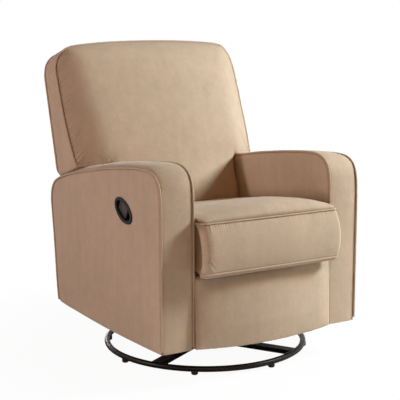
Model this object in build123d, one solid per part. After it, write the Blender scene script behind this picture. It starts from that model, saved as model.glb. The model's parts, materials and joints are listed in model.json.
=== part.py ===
"""Swivel-glider recliner for a nursery, in millimetres.

+Z is up, the sitter faces -Y, and the origin is on the floor under the middle of the chair.
A ring base carries a swivel plate, the swivel carries a four-bar glider, and the glider's
carriage carries the upholstered arms. The seat slides forward on slots in the carriage as the
back reclines, and a lazy-tong linkage under the seat carries the footrest.
"""
from build123d import *
import os
from math import atan2, cos, degrees, hypot, radians, sin

os.makedirs("parts", exist_ok=True)

# ---------------------------------------------------------------- driving dimensions
RUNNING = 0.1            # radial clearance of a turning pin
SEATED = 0.3             # gap between pieces that lie against each other
OPEN_PIVOT = 0.9         # radial clearance at the linkage pivots that close a loop

# base
RING_RADIUS = 338.0      # centre line of the floor ring
RING_TUBE = 19.0
SWIVEL_Y = -33.0         # the swivel axis, seen along Y
SPOKE_COUNT = 4
SPOKE_WIDTH = 36.0
SPOKE_HEIGHT = 15.0
SPOKE_TURN = 30.0
GLIDE_COUNT = 8
GLIDE_DIAMETER = 22.0
GLIDE_LIFT = 8.5         # underside of the ring above the floor
GLIDE_WRAP = 6.0
GLIDE_CHAMFER = 2.5
HUB_DIAMETER = 150.0
HUB_PLATE = 6.0
KINGPIN = 24.0
RACE_DIAMETER = 120.0
RACE_HEIGHT = 6.0
KINGPIN_CAP = 44.0
CAP_HEIGHT = 6.0

# swivel frame and glider
SWIVEL_PLATE_SIDE = 230.0
SWIVEL_PLATE = 5.0
SWIVEL_PLATE_CORNER = 30.0
UPRIGHT_X = 150.0        # inner face of the uprights
UPRIGHT_PLATE = 4.0
UPRIGHT_SPREAD = 130.0   # between the front and rear glider pivots
UPPER_PIVOT_Z = 205.0
GLIDE_LINK = 110.0       # pivot to pivot
GLIDE_LINK_WIDTH = 24.0
GLIDE_LINK_PLATE = 4.0
GLIDE_PIN = 10.0
PIN_COLLAR = 4.0         # a pin's head stands out this far all round
LAYER_GAP = 3.0          # between neighbouring plates of the glider
SWIVEL_RAIL = 25.0       # square cross tubes of the swivel frame
WALL = 2.0               # steel tube wall

# carriage
HANGER_PLATE = 4.0
HANGER_HEIGHT = 18.0
HANGER_FLANGE = 26.0
CROSS_TUBE_DEPTH = 25.0
CROSS_TUBE_HEIGHT = 23.0
FRONT_TUBE_Y = -230.0
REAR_TUBE_Y = 205.0
SIDE_PLATE_THICK = 4.5
SIDE_PLATE_TOP = 318.0
SIDE_PLATE_FRONT = -252.0
SIDE_PLATE_REAR = 316.0
SIDE_PLATE_SLOPE = 60.0  # length of the sloped corner at its upper front
SIDE_PLATE_CORNER = 12.0
WINDOW_MARGIN = 60.0     # from a cross tube to the window in the side plate
WINDOW_CORNER = 18.0

# arms
OVERALL_WIDTH = 740.0
ARM_WIDTH = 110.0
ARM_FRONT = -382.0
ARM_BOTTOM = 112.0
ARM_TOP_FRONT = 672.0    # height of the top line where it would meet the front
ARM_TOP_MIDDLE = 638.0
ARM_TOP_REAR = 546.0
ARM_REAR_TOP = 412.0
ARM_REAR_MIDDLE = 388.0
ARM_REAR_BOTTOM = 356.0
ARM_FRONT_RADIUS = 64.0
ARM_REAR_RADIUS = 58.0
ARM_SLOPE = 7.0          # the top rises to the sitter's side by twice this
ARM_CROWN = 4.0
ARM_PADDING = 20.0
ARM_RAIL = 42.0          # width of the timber in the arm frame

# seat
SEAT_SIDE_GAP = 10.0     # between the cushion's welts and an arm
SEAT_FRONT = -441.0      # front face at its lower welt
SEAT_NOSE = -457.0       # furthest forward point of the front face
SEAT_FRONT_TOP = -424.0
SEAT_REAR = 78.0         # rear face in the middle, behind which the back cushion swells
SEAT_REAR_SIDE = 117.0
SEAT_UNDERSIDE = 348.0
SEAT_SIDE_BULGE = 7.0
SEAT_FRONT_BULGE = 14.0
SEAT_TOP_FRONT = 500.0   # where the front face meets the top
SEAT_CROWN = [           # place along Y, height at the side and in the middle
    (-457.0, 506.0, 524.0),
    (-410.0, 515.0, 536.0),
    (-370.0, 519.0, 541.0),
    (-260.0, 516.0, 538.0),
    (-130.0, 503.0, 526.0),
    (0.0, 486.0, 507.0),
    (120.0, 468.0, 486.0),
]
SEAT_RAIL_HEIGHT = 23.0
SEAT_RAIL_WIDTH = 14.0
SEAT_RAIL_FRONT = -349.0
SEAT_RAIL_REAR = 72.0
SEAT_CREST = (72.0, 46.8)  # end of the rounding behind the front welt, back and up from the welt
SEAT_BEND = (21.6, 27.0)   # middle of that rounding
SEAT_STRAP = 50.0
STRAP_COUNT = 5
STRAP_THICK = 1.5
SEAT_PLATE_GAP = 32.0    # from an arm to the inner face of the seat's side plate
SEAT_PLATE = 4.0
SLIDE_PIN = 12.0
SLIDE_TRAVEL = 20.0
SLIDE_RISE = 8.0         # degrees
SLIDE_Z = 250.0
FRONT_SLIDE_Y = -110.0
REAR_SLIDE_Y = 165.0

# back, in its own plane: s runs up it, u runs forward out of it
BACK_Y = 161.6
BACK_Z = 370.0
BACK_RECLINE = 18.5
BACK_TOP = 698.0
BACK_CORNER_TOP = 681.0
BACK_CORNER_RADIUS = 62.0
BACK_BOTTOM = 28.0
WING_BOTTOM = 254.0
WING_BOTTOM_REAR = 286.0
BACK_SIDE_GAP = 13.0     # between the lower back and an arm
WING_CROWN = [           # place up the back, front at the side and in the middle
    (234.0, 12.0, 104.0),
    (420.0, 2.0, 72.0),
    (580.0, -3.0, 42.0),
    (708.0, -10.0, 4.0),
]
LUMBAR_CROWN = [
    (28.0, 52.0, 92.0),
    (100.0, 70.0, 116.0),
    (254.0, 63.0, 102.0),
]
BACK_DEPTH_LOW = 108.0
BACK_DEPTH_HIGH = 91.0
BACK_TAPER_END = 606.0
BACK_TOP_DEPTH = 46.0
BACK_ROUND = (66.0, 12.0)  # middle of the rounded rear top, up and forward from the taper's end
NECK_LAP = 4.0           # the neck runs this far into the parts it joins
BACK_FRAME_RAIL = 34.0
BACK_FRAME_FRONT = -52.0
BACK_FRAME_DEPTH = 28.0
BACK_FRAME_BOTTOM = 60.0
BACK_NOTCH = 12.0        # clear of the recline stud's head
BACK_FRAME_TOP = 640.0
BACK_BRACKET = 4.5
BACK_BRACKET_TOP = 210.0
BACK_BRACKET_FLARE = 6.0
RECLINE_EYE = 18.0       # radius of the bracket round the recline stud
BACK_STRAP = 60.0
RECLINE_S = 32.0         # the recline pivot
RECLINE_U = -88.0
RECLINE_PIN = 14.0
RECLINE_HEAD = 24.0
OUTSIDE_PANEL = 4.0

# footrest
TONG_LINK = 150.0        # pivot to pivot
TONG_WIDTH = 18.0
TONG_PLATE = 5.0
TONG_GAP = 2.0
TONG_PIN = 8.0
TONG_HEAD = 13.0
TONG_HEAD_THICK = 1.4
TONG_STAGES = 3
TONG_FOLDED = 75.0       # degrees between a link and the line of the upper pivots
TONG_TILT = 3.0          # degrees by which that line rises to the front
TONG_FRONT_Y = -320.0    # pivot that carries the footrest
TONG_FRONT_Z = 285.0
TONG_REACH_OPEN = 20.0   # the same angle with the footrest out
EAR_ALONG = -4.0         # stud of the tilt link, from the middle of its carrying link
EAR_ACROSS = 37.0
TILT_BACK = 24.0         # lower pivot of the footrest bracket, from the front pivot
TILT_DOWN = 5.0
FOOTREST_SIDE_GAP = 8.0  # between the footrest and an arm
FOOTREST_TOP = 322.0
FOOTREST_BOTTOM = 114.0
FOOTREST_SAG = 7.0
FOOTREST_FACE = -392.0
FOOTREST_BULGE = 5.0
FOOTREST_BACK = -339.0
FOOTREST_BOARD = 15.0
FOOTREST_ROUND = 16.0
FOOTREST_CORNER = 12.0
BRACKET_EYE = 10.0       # radius of the footrest bracket round its pivots
BRACKET_DROP = 40.0      # from the pivot to the lower end of the bracket's web
FLANGE_DROP = 80.0       # and of its flange
FLANGE_WIDTH = 24.0

# rear of the body
REAR_RAIL_Y = 322.0
REAR_RAIL_THICK = 18.0
REAR_RAIL_TOP = 318.0
REAR_COVER_THICK = 8.0
REAR_COVER_TOP = 384.0

# release cup on the sitter's right
CUP_LENGTH = 119.0
CUP_WIDTH = 70.0
CUP_Y = -145.0
CUP_Z = 519.0
CUP_TILT = 24.0
CUP_RIM = 8.0
CUP_PROUD = 3.5
CUP_DEPTH = 26.0
CUP_WALL = 2.5
LEVER_PIN = 5.0
LEVER_PIVOT = 34.0       # from the middle of the cup towards its rear end
LEVER_THICK = 5.0
LEVER_EDGE = 3.5         # radius of the rolled finger edge
LEVER_REACH = 44.0

HALF_WIDTH = OVERALL_WIDTH / 2
ARM_INNER = HALF_WIDTH - ARM_WIDTH
SEAT_HALF_WIDTH = ARM_INNER - SEAT_SIDE_GAP
SEAT_PLATE_X = ARM_INNER - SEAT_PLATE_GAP
BACK_LOWER_HALF = ARM_INNER - BACK_SIDE_GAP
FOOTREST_HALF = ARM_INNER - FOOTREST_SIDE_GAP


# ---------------------------------------------------------------- helpers
def side_view(x):
    """Sketch plane across the chair at x, with Y and Z as its own directions."""
    return Plane.YZ.offset(x)


def across(shape):
    """A piece and its mirror image on the other side of the chair."""
    return [shape, mirror(shape, about=Plane.YZ)]


def disc(centre, diameter, inner, outer):
    """Round pin or washer that runs along X."""
    face = side_view(inner) * Pos(*centre) * Circle(diameter / 2)
    return extrude(face, outer - inner)


def strap_between(start, end, width, inner, outer):
    """Flat bar with round ends from one pivot to the other."""
    run = hypot(end[0] - start[0], end[1] - start[1])
    turn = degrees(atan2(end[1] - start[1], end[0] - start[0]))
    middle = ((start[0] + end[0]) / 2, (start[1] + end[1]) / 2)
    face = Pos(*middle) * Rot(0, 0, turn) * SlotCenterToCenter(run, width)
    return extrude(side_view(inner) * face, outer - inner)


def block(x0, x1, y0, y1, z0, z1):
    """Upright rectangular block between two corners."""
    centre = Pos((x0 + x1) / 2, (y0 + y1) / 2, (z0 + z1) / 2)
    return centre * Box(x1 - x0, y1 - y0, z1 - z0)


def tube_across(half, y, depth, z0, height):
    """Rectangular steel tube that runs across the chair."""
    outer = block(-half, half, y - depth / 2, y + depth / 2, z0, z0 + height)
    bore = block(-half, half, y - depth / 2 + WALL, y + depth / 2 - WALL, z0 + WALL, z0 + height - WALL)
    return outer - bore


def outline(points, close=True):
    """Face bounded by straight lines."""
    return make_face(Polyline(*points, close=close))


def save(name, *solids):
    """Write one sub-part."""
    pieces = []
    for solid in solids:
        pieces += solid if isinstance(solid, list) else [solid]
    shape = pieces[0] if len(pieces) == 1 else Compound(children=pieces)
    shape.label = name
    export_step(shape, f"parts/{name}.step")


# ---------------------------------------------------------------- base
RING_Z = GLIDE_LIFT + RING_TUBE / 2
HUB_Z = RING_Z + SPOKE_HEIGHT / 2
RACE_Z = HUB_Z + HUB_PLATE
SWIVEL_Z = RACE_Z + RACE_HEIGHT + SEATED
UPPER_RACE_Z = SWIVEL_Z + RACE_HEIGHT
PLATE_TOP = UPPER_RACE_Z + SWIVEL_PLATE


def ring_solid(extra=0.0):
    return Pos(0, SWIVEL_Y, RING_Z) * Torus(RING_RADIUS, RING_TUBE / 2 + extra)


def floor_glides():
    """Feet with a saddle for the ring, each with a domed sole."""
    upright = (Align.CENTER, Align.CENTER, Align.MIN)
    foot = Cylinder(GLIDE_DIAMETER / 2, GLIDE_LIFT + GLIDE_WRAP, align=upright)
    foot = chamfer(foot.faces().sort_by(Axis.Z)[0].edges(), GLIDE_CHAMFER)
    feet = []
    for index in range(GLIDE_COUNT):
        angle = radians(SPOKE_TURN + 360 / GLIDE_COUNT * (index + 0.5))
        place = Pos(RING_RADIUS * cos(angle), SWIVEL_Y + RING_RADIUS * sin(angle), 0)
        feet.append(place * foot - ring_solid(RUNNING))
    return feet


def base_spokes():
    """Flat tube spokes from the hub to the ring, coped to it."""
    reach = RING_RADIUS
    spokes = Cylinder(HUB_DIAMETER / 2, SPOKE_HEIGHT)
    for index in range(SPOKE_COUNT):
        spoke = Pos(reach / 2, 0, 0) * Box(reach, SPOKE_WIDTH, SPOKE_HEIGHT)
        spokes += Rot(0, 0, SPOKE_TURN + 360 / SPOKE_COUNT * index) * spoke
    spokes = Pos(0, SWIVEL_Y, RING_Z) * spokes
    inside = Pos(0, SWIVEL_Y, RING_Z) * Cylinder(RING_RADIUS, RING_TUBE)
    return (spokes & inside) - ring_solid(RUNNING)


def kingpin():
    """Hub plate, lower race, kingpin and its cap, turned as one piece."""
    cap_z = PLATE_TOP + SEATED
    profile = [
        (0, HUB_Z),
        (HUB_DIAMETER / 2, HUB_Z),
        (HUB_DIAMETER / 2, RACE_Z),
        (RACE_DIAMETER / 2, RACE_Z),
        (RACE_DIAMETER / 2, RACE_Z + RACE_HEIGHT),
        (KINGPIN / 2, RACE_Z + RACE_HEIGHT),
        (KINGPIN / 2, cap_z),
        (KINGPIN_CAP / 2, cap_z),
        (KINGPIN_CAP / 2, cap_z + CAP_HEIGHT / 2),
        (KINGPIN_CAP / 2 - CAP_HEIGHT / 2, cap_z + CAP_HEIGHT),
        (0, cap_z + CAP_HEIGHT),
    ]
    return Pos(0, SWIVEL_Y, 0) * revolve(Plane.XZ * outline(profile), Axis.Z)


save("base_ring", ring_solid())
save("base_spokes", base_spokes())
save("floor_glides", *floor_glides())
save("kingpin_hub", kingpin())

# ---------------------------------------------------------------- swivel frame
FRONT_UPRIGHT_Y = SWIVEL_Y - UPRIGHT_SPREAD / 2
REAR_UPRIGHT_Y = SWIVEL_Y + UPRIGHT_SPREAD / 2
UPRIGHT_OUTER = UPRIGHT_X + UPRIGHT_PLATE
LINK_X = UPRIGHT_OUTER + LAYER_GAP
LINK_OUTER = LINK_X + GLIDE_LINK_PLATE
HANGER_X = LINK_OUTER + LAYER_GAP
LOWER_PIVOT_Z = UPPER_PIVOT_Z - GLIDE_LINK
PIN_HEAD = GLIDE_PIN + 2 * PIN_COLLAR
PIN_HEAD_THICK = LAYER_GAP - 2 * SEATED


def swivel_race():
    """Upper race ring under the swivel plate."""
    race = Cylinder(RACE_DIAMETER / 2, RACE_HEIGHT) - Cylinder(KINGPIN / 2 + RUNNING, RACE_HEIGHT)
    return Pos(0, SWIVEL_Y, SWIVEL_Z + RACE_HEIGHT / 2) * race


def swivel_plate():
    """Square plate with rounded corners that turns on the kingpin."""
    face = RectangleRounded(2 * UPRIGHT_X, SWIVEL_PLATE_SIDE, SWIVEL_PLATE_CORNER)
    face -= Circle(KINGPIN / 2 + RUNNING)
    return extrude(Pos(0, SWIVEL_Y, UPPER_RACE_Z) * face, SWIVEL_PLATE)


def glider_side():
    """One side of the swivel frame: a rail with a tapered upright at each glider pivot."""
    half = UPRIGHT_SPREAD / 2
    foot = GLIDE_LINK_WIDTH
    crown = GLIDE_LINK_WIDTH / 2
    rail = Rectangle(2 * half + 2 * foot, SWIVEL_RAIL, align=(Align.CENTER, Align.MIN))
    face = Pos(SWIVEL_Y, PLATE_TOP) * rail
    for pivot_y in (FRONT_UPRIGHT_Y, REAR_UPRIGHT_Y):
        taper = [
            (pivot_y - foot, PLATE_TOP),
            (pivot_y + foot, PLATE_TOP),
            (pivot_y + crown, UPPER_PIVOT_Z),
            (pivot_y - crown, UPPER_PIVOT_Z),
        ]
        face += outline(taper)
        face += Pos(pivot_y, UPPER_PIVOT_Z) * Circle(crown)
    return extrude(side_view(UPRIGHT_X) * face, UPRIGHT_PLATE)


def upper_pin(pivot_y):
    """Headed pin in an upright, which a glider link hangs on."""
    pivot = (pivot_y, UPPER_PIVOT_Z)
    shank = disc(pivot, GLIDE_PIN, UPRIGHT_OUTER, LINK_OUTER + SEATED)
    head = disc(pivot, PIN_HEAD, LINK_OUTER + SEATED, LINK_OUTER + SEATED + PIN_HEAD_THICK)
    return shank + head


def swivel_rails():
    """Two square tubes on the swivel plate that carry the sides."""
    tubes = []
    for pivot_y in (FRONT_UPRIGHT_Y, REAR_UPRIGHT_Y):
        tubes.append(tube_across(UPRIGHT_X, pivot_y, SWIVEL_RAIL, PLATE_TOP, SWIVEL_RAIL))
    return tubes


save("swivel_race", swivel_race())
save("swivel_plate", swivel_plate())
save("swivel_rails", *swivel_rails())
save("glider_uprights", across(glider_side()))
save("glider_upper_pins", across(upper_pin(FRONT_UPRIGHT_Y)), across(upper_pin(REAR_UPRIGHT_Y)))


# ---------------------------------------------------------------- glider links
def glider_link(pivot_y):
    """Hanging link with a hole for its upper and its lower pin."""
    upper = (pivot_y, UPPER_PIVOT_Z)
    lower = (pivot_y, LOWER_PIVOT_Z)
    link = strap_between(upper, lower, GLIDE_LINK_WIDTH, LINK_X, LINK_OUTER)
    for pivot in (upper, lower):
        link -= disc(pivot, GLIDE_PIN + 2 * RUNNING, LINK_X, LINK_OUTER)
    return link


save("front_glide_links", across(glider_link(FRONT_UPRIGHT_Y)))
save("rear_glide_links", across(glider_link(REAR_UPRIGHT_Y)))

# ---------------------------------------------------------------- carriage
TUBE_Z = LOWER_PIVOT_Z
SIDE_OUTER = ARM_INNER - SEATED
SIDE_INNER = SIDE_OUTER - SIDE_PLATE_THICK
SEAT_PLATE_OUTER = SEAT_PLATE_X + SEAT_PLATE
SLIDE = (-cos(radians(SLIDE_RISE)), sin(radians(SLIDE_RISE)))
SLIDE_PINS = [(FRONT_SLIDE_Y, SLIDE_Z), (REAR_SLIDE_Y, SLIDE_Z)]


def hanger_rail():
    """Angle rail under the cross tubes that hangs on the glider links."""
    front = FRONT_TUBE_Y - CROSS_TUBE_DEPTH / 2
    rear = REAR_TUBE_Y + CROSS_TUBE_DEPTH / 2
    web = block(HANGER_X, HANGER_X + HANGER_PLATE, front, rear, TUBE_Z - HANGER_HEIGHT, TUBE_Z)
    flange = block(HANGER_X, HANGER_X + HANGER_FLANGE, front, rear, TUBE_Z - HANGER_PLATE, TUBE_Z)
    rail = web + flange
    for pivot_y in (FRONT_UPRIGHT_Y, REAR_UPRIGHT_Y):
        ear = side_view(HANGER_X) * Pos(pivot_y, LOWER_PIVOT_Z) * Circle(GLIDE_LINK_WIDTH / 2)
        rail += extrude(ear, HANGER_PLATE)
    return rail


def lower_pin(pivot_y):
    """Headed pin in the hanger rail, which a glider link carries."""
    pivot = (pivot_y, LOWER_PIVOT_Z)
    shank = disc(pivot, GLIDE_PIN, LINK_X - SEATED, HANGER_X)
    head = disc(pivot, PIN_HEAD, LINK_X - SEATED - PIN_HEAD_THICK, LINK_X - SEATED)
    return shank + head


def cross_tube(y):
    return tube_across(SIDE_INNER, y, CROSS_TUBE_DEPTH, TUBE_Z, CROSS_TUBE_HEIGHT)


def body_side_plate():
    """Steel plate inside each arm with the inclined slots that the seat slides in."""
    low = TUBE_Z
    face = outline([
        (SIDE_PLATE_FRONT, low),
        (SIDE_PLATE_REAR, low),
        (SIDE_PLATE_REAR, SIDE_PLATE_TOP),
        (SIDE_PLATE_FRONT + SIDE_PLATE_SLOPE, SIDE_PLATE_TOP),
        (SIDE_PLATE_FRONT, SLIDE_Z),
    ])
    face = fillet(face.vertices(), SIDE_PLATE_CORNER)
    window_top = SLIDE_Z - 2 * SLIDE_PIN
    window_low = TUBE_Z + CROSS_TUBE_HEIGHT + SLIDE_PIN
    window = Rectangle(REAR_TUBE_Y - FRONT_TUBE_Y - 2 * WINDOW_MARGIN, window_top - window_low)
    window = fillet(window.vertices(), WINDOW_CORNER)
    face -= Pos((REAR_TUBE_Y + FRONT_TUBE_Y) / 2, (window_top + window_low) / 2) * window
    for pin in SLIDE_PINS:
        middle = (pin[0] + SLIDE[0] * SLIDE_TRAVEL / 2, pin[1] + SLIDE[1] * SLIDE_TRAVEL / 2)
        slot = SlotCenterToCenter(SLIDE_TRAVEL + SEATED, SLIDE_PIN + 2 * SEATED)
        face -= Pos(*middle) * Rot(0, 0, -SLIDE_RISE) * slot
    return extrude(side_view(SIDE_INNER) * face, SIDE_PLATE_THICK)


save("glide_hanger_rails", across(hanger_rail()))
save("glider_lower_pins", across(lower_pin(FRONT_UPRIGHT_Y)), across(lower_pin(REAR_UPRIGHT_Y)))
save("carriage_cross_tubes", cross_tube(FRONT_TUBE_Y), cross_tube(REAR_TUBE_Y))
save("body_side_plates", across(body_side_plate()))


# ---------------------------------------------------------------- arms
def arm_face(lift, inset):
    """Side outline of an arm, drawn in by inset all round."""
    front = ARM_FRONT + inset
    bottom = ARM_BOTTOM + inset
    drop = lift - inset
    middle_y = (ARM_FRONT + ARM_REAR_TOP) / 2
    rear_top = (ARM_REAR_TOP - inset, ARM_TOP_REAR + drop)
    rear_low = (ARM_REAR_BOTTOM - inset, bottom)
    rear_middle = (ARM_REAR_MIDDLE - inset, (bottom + ARM_TOP_REAR) / 2)
    edges = [
        Line((front, bottom), (front, ARM_TOP_FRONT + drop)),
        ThreePointArc((front, ARM_TOP_FRONT + drop), (middle_y, ARM_TOP_MIDDLE + drop), rear_top),
        ThreePointArc(rear_top, rear_middle, rear_low),
        Line(rear_low, (front, bottom)),
    ]
    face = make_face(edges)
    high = face.vertices().sort_by(Axis.Y)[-2:]
    face = fillet(high.sort_by(Axis.X)[0], ARM_FRONT_RADIUS - inset / 2)
    high = face.vertices().sort_by(Axis.X)[-1]
    return fillet(high, ARM_REAR_RADIUS - inset / 2)


def arm_block():
    """Outer form of an arm: its top slopes to the outside and is slightly crowned."""
    inner = side_view(ARM_INNER) * arm_face(ARM_SLOPE, 0)
    middle = side_view(HALF_WIDTH - ARM_WIDTH / 2) * arm_face(ARM_CROWN, 0)
    outer = side_view(HALF_WIDTH) * arm_face(-ARM_SLOPE, 0)
    return loft([inner, middle, outer])


def arm_pocket(clearance=0.0):
    """Space inside the padding for the timber frame."""
    face = arm_face(0, ARM_PADDING + ARM_SLOPE + clearance)
    inner = ARM_INNER + ARM_PADDING + clearance
    return extrude(side_view(inner) * face, ARM_WIDTH - 2 * ARM_PADDING - 2 * clearance)


def arm_frame():
    """Timber ring: front post, top rail, rear post and bottom rail."""
    hollow = arm_face(0, ARM_PADDING + ARM_SLOPE + ARM_RAIL)
    return arm_pocket(SEATED) - extrude(side_view(ARM_INNER) * hollow, ARM_WIDTH)


arm = arm_block() - arm_pocket()
frame = arm_frame()
save("left_arm_cover", arm)
save("left_arm_frame", frame)

# ---------------------------------------------------------------- release cup and lever
# The cup is drawn in its own plane: x along its length to the rear, y up, z out of the arm.
CUP_PLANE = Plane(
    origin=(-HALF_WIDTH, CUP_Y, CUP_Z),
    x_dir=(0, cos(radians(CUP_TILT)), sin(radians(CUP_TILT))),
    z_dir=(-1, 0, 0),
)
CUP_BODY_LENGTH = CUP_LENGTH - 2 * CUP_RIM
CUP_BODY_WIDTH = CUP_WIDTH - 2 * CUP_RIM
CUP_FLOOR = -CUP_DEPTH
LEVER_Z = -LEVER_PIN - CUP_WALL


def cup_oval(grow):
    """Oval of the cup's wall, larger all round by grow."""
    return Ellipse(CUP_BODY_LENGTH / 2 + grow, CUP_BODY_WIDTH / 2 + grow)


def cup_hole():
    """Opening in the arm's outer padding that the cup drops into."""
    return CUP_PLANE * Pos(0, 0, -CUP_DEPTH - CUP_RIM) * extrude(cup_oval(SEATED), CUP_DEPTH + 2 * CUP_RIM)


def release_cup():
    """Moulded cup with a rounded rim and two ears for the lever pin."""
    body = Pos(0, 0, CUP_FLOOR) * extrude(cup_oval(0), CUP_DEPTH + SEATED)
    rim = Pos(0, 0, SEATED) * extrude(cup_oval(CUP_RIM), CUP_PROUD)
    rim = fillet(rim.faces().sort_by(Axis.Z)[-1].edges(), CUP_PROUD / 2)
    hollow = Pos(0, 0, CUP_FLOOR + CUP_WALL) * extrude(cup_oval(-CUP_WALL), 2 * CUP_DEPTH)
    return CUP_PLANE * (body + rim - hollow)


def lever_half_width(along):
    """Half width of the lever, which keeps clear of the cup's wall."""
    length = CUP_BODY_LENGTH / 2 - CUP_WALL
    width = CUP_BODY_WIDTH / 2 - CUP_WALL
    return width * (1 - (along / length) ** 2) ** 0.5 - 4 * SEATED


def release_pin():
    """Cross pin of the lever, held in the cup's wall."""
    half = lever_half_width(LEVER_PIVOT + LEVER_PIN) + 2 * SEATED
    pin = Pos(LEVER_PIVOT, 0, LEVER_Z) * Rot(90, 0, 0) * Cylinder(LEVER_PIN / 2, 2 * half)
    return CUP_PLANE * pin


def release_lever():
    """Paddle with a barrel at its pin and a rolled finger edge at its free end."""
    free = LEVER_PIVOT - LEVER_REACH
    barrel_half = lever_half_width(LEVER_PIVOT + LEVER_PIN)
    paddle = cup_oval(-CUP_WALL - 4 * SEATED)
    keep = Pos((LEVER_PIVOT + free) / 2, 0) * Rectangle(LEVER_REACH, CUP_WIDTH)
    blade = Pos(0, 0, LEVER_Z - LEVER_THICK / 2) * extrude(paddle & keep, LEVER_THICK)
    edge_half = lever_half_width(free) - LEVER_THICK / 2
    edge = Pos(free, 0, LEVER_Z) * Rot(90, 0, 0) * Cylinder(LEVER_EDGE, 2 * edge_half)
    barrel = Pos(LEVER_PIVOT, 0, LEVER_Z) * Rot(90, 0, 0) * Cylinder(LEVER_PIN, 2 * barrel_half)
    bore = Pos(LEVER_PIVOT, 0, LEVER_Z) * Rot(90, 0, 0) * Cylinder(LEVER_PIN / 2 + RUNNING, CUP_WIDTH)
    return CUP_PLANE * (blade + edge + barrel - bore)


save("right_arm_cover", mirror(arm, about=Plane.YZ) - cup_hole())
save("right_arm_frame", mirror(frame, about=Plane.YZ))
save("release_cup", release_cup())
save("release_pin", release_pin())
save("release_lever", release_lever())


# ---------------------------------------------------------------- rear of the body
def rear_rail():
    """Timber rail between the arms, screwed to the side plates' rear edges."""
    rear = REAR_RAIL_Y + REAR_RAIL_THICK
    return block(-SIDE_OUTER, SIDE_OUTER, REAR_RAIL_Y, rear, ARM_BOTTOM, REAR_RAIL_TOP)


def rear_cover():
    """Padded panel on the rear rail, up to the foot of the back."""
    front = REAR_RAIL_Y + REAR_RAIL_THICK + SEATED
    panel = block(-SIDE_OUTER, SIDE_OUTER, front, front + REAR_COVER_THICK, ARM_BOTTOM, REAR_COVER_TOP)
    rear_edges = panel.faces().sort_by(Axis.Y)[-1].edges()
    return fillet(rear_edges, REAR_COVER_THICK / 2)


save("rear_rail", rear_rail())
save("rear_cover", rear_cover())

# ---------------------------------------------------------------- seat
RAIL_INNER = SEAT_PLATE_OUTER + SEATED
RAIL_OUTER = RAIL_INNER + SEAT_RAIL_WIDTH
RAIL_TOP = SEAT_UNDERSIDE - SEATED - STRAP_THICK
RAIL_LOW = RAIL_TOP - SEAT_RAIL_HEIGHT
TONG_RUN = (-cos(radians(TONG_TILT)), sin(radians(TONG_TILT)))
TONG_DOWN = (-sin(radians(TONG_TILT)), -cos(radians(TONG_TILT)))
RECLINE_PIVOT = (
    BACK_Y + RECLINE_S * sin(radians(BACK_RECLINE)) - RECLINE_U * cos(radians(BACK_RECLINE)),
    BACK_Z + RECLINE_S * cos(radians(BACK_RECLINE)) + RECLINE_U * sin(radians(BACK_RECLINE)),
)


def upper_pivot(stage, angle=TONG_FOLDED):
    """Upper pivot of the lazy tongs after so many stages; stage 0 is fixed to the seat."""
    folded_run = TONG_STAGES * TONG_LINK * cos(radians(TONG_FOLDED))
    run = stage * TONG_LINK * cos(radians(angle)) - folded_run
    return (TONG_FRONT_Y + run * TONG_RUN[0], TONG_FRONT_Z + run * TONG_RUN[1])


def lower_pivot(stage, angle=TONG_FOLDED):
    """Lower pivot of the lazy tongs after so many stages."""
    drop = TONG_LINK * sin(radians(angle))
    top = upper_pivot(stage, angle)
    return (top[0] + drop * TONG_DOWN[0], top[1] + drop * TONG_DOWN[1])


TONG_B = SEAT_PLATE_X - TONG_GAP - TONG_PLATE          # inner face of the outer links
TONG_B_OUTER = TONG_B + TONG_PLATE
TONG_A = TONG_B - TONG_GAP - TONG_PLATE                # inner face of the inner links
TONG_A_OUTER = TONG_A + TONG_PLATE


def seat_side_plate():
    """Steel side of the seat: footrest pivot and slot in front, recline pivot behind."""
    fixed = upper_pivot(0)
    low_folded = lower_pivot(0)
    low_open = lower_pivot(0, TONG_REACH_OPEN)
    wide = TONG_WIDTH
    leg_width = TONG_PIN + 2 * OPEN_PIVOT + wide
    rail = outline([
        (fixed[0] - wide, SLIDE_Z - wide),
        (RECLINE_PIVOT[0] - wide, SLIDE_Z - wide),
        (RECLINE_PIVOT[0] - wide, RAIL_TOP),
        (fixed[0] - wide, RAIL_TOP),
    ])
    leg = Pos((fixed[0] + low_folded[0]) / 2, (fixed[1] + low_folded[1]) / 2) * Rot(0, 0, -TONG_TILT)
    leg = leg * SlotCenterToCenter(TONG_LINK * sin(radians(TONG_FOLDED)), leg_width, rotation=90)
    horn = outline([
        (RECLINE_PIVOT[0] - 4 * wide, SLIDE_Z - wide),
        (RECLINE_PIVOT[0] - wide, SLIDE_Z - wide),
        (RECLINE_PIVOT[0] + wide, RECLINE_PIVOT[1]),
        (RECLINE_PIVOT[0] - wide, RECLINE_PIVOT[1]),
    ])
    face = rail + leg + horn + Pos(*RECLINE_PIVOT) * Circle(wide)
    middle = ((low_folded[0] + low_open[0]) / 2, (low_folded[1] + low_open[1]) / 2)
    travel = hypot(low_folded[0] - low_open[0], low_folded[1] - low_open[1])
    slot = SlotCenterToCenter(travel + OPEN_PIVOT, TONG_PIN + 2 * OPEN_PIVOT, rotation=90)
    face -= Pos(*middle) * Rot(0, 0, -TONG_TILT) * slot
    return extrude(side_view(SEAT_PLATE_X) * face, SEAT_PLATE)


def inward_rivet(centre, outer, inner, reach):
    """Stud that runs towards the middle through a neighbour and ends in a head."""
    end = inner - reach - SEATED
    return disc(centre, TONG_PIN, end, outer) + disc(centre, TONG_HEAD, end - TONG_HEAD_THICK, end)


def seat_slide_pin(centre):
    """Pin of the seat's side plate that runs in a slot of the body."""
    return disc(centre, SLIDE_PIN, SEAT_PLATE_OUTER, SIDE_OUTER - SEATED)


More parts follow.
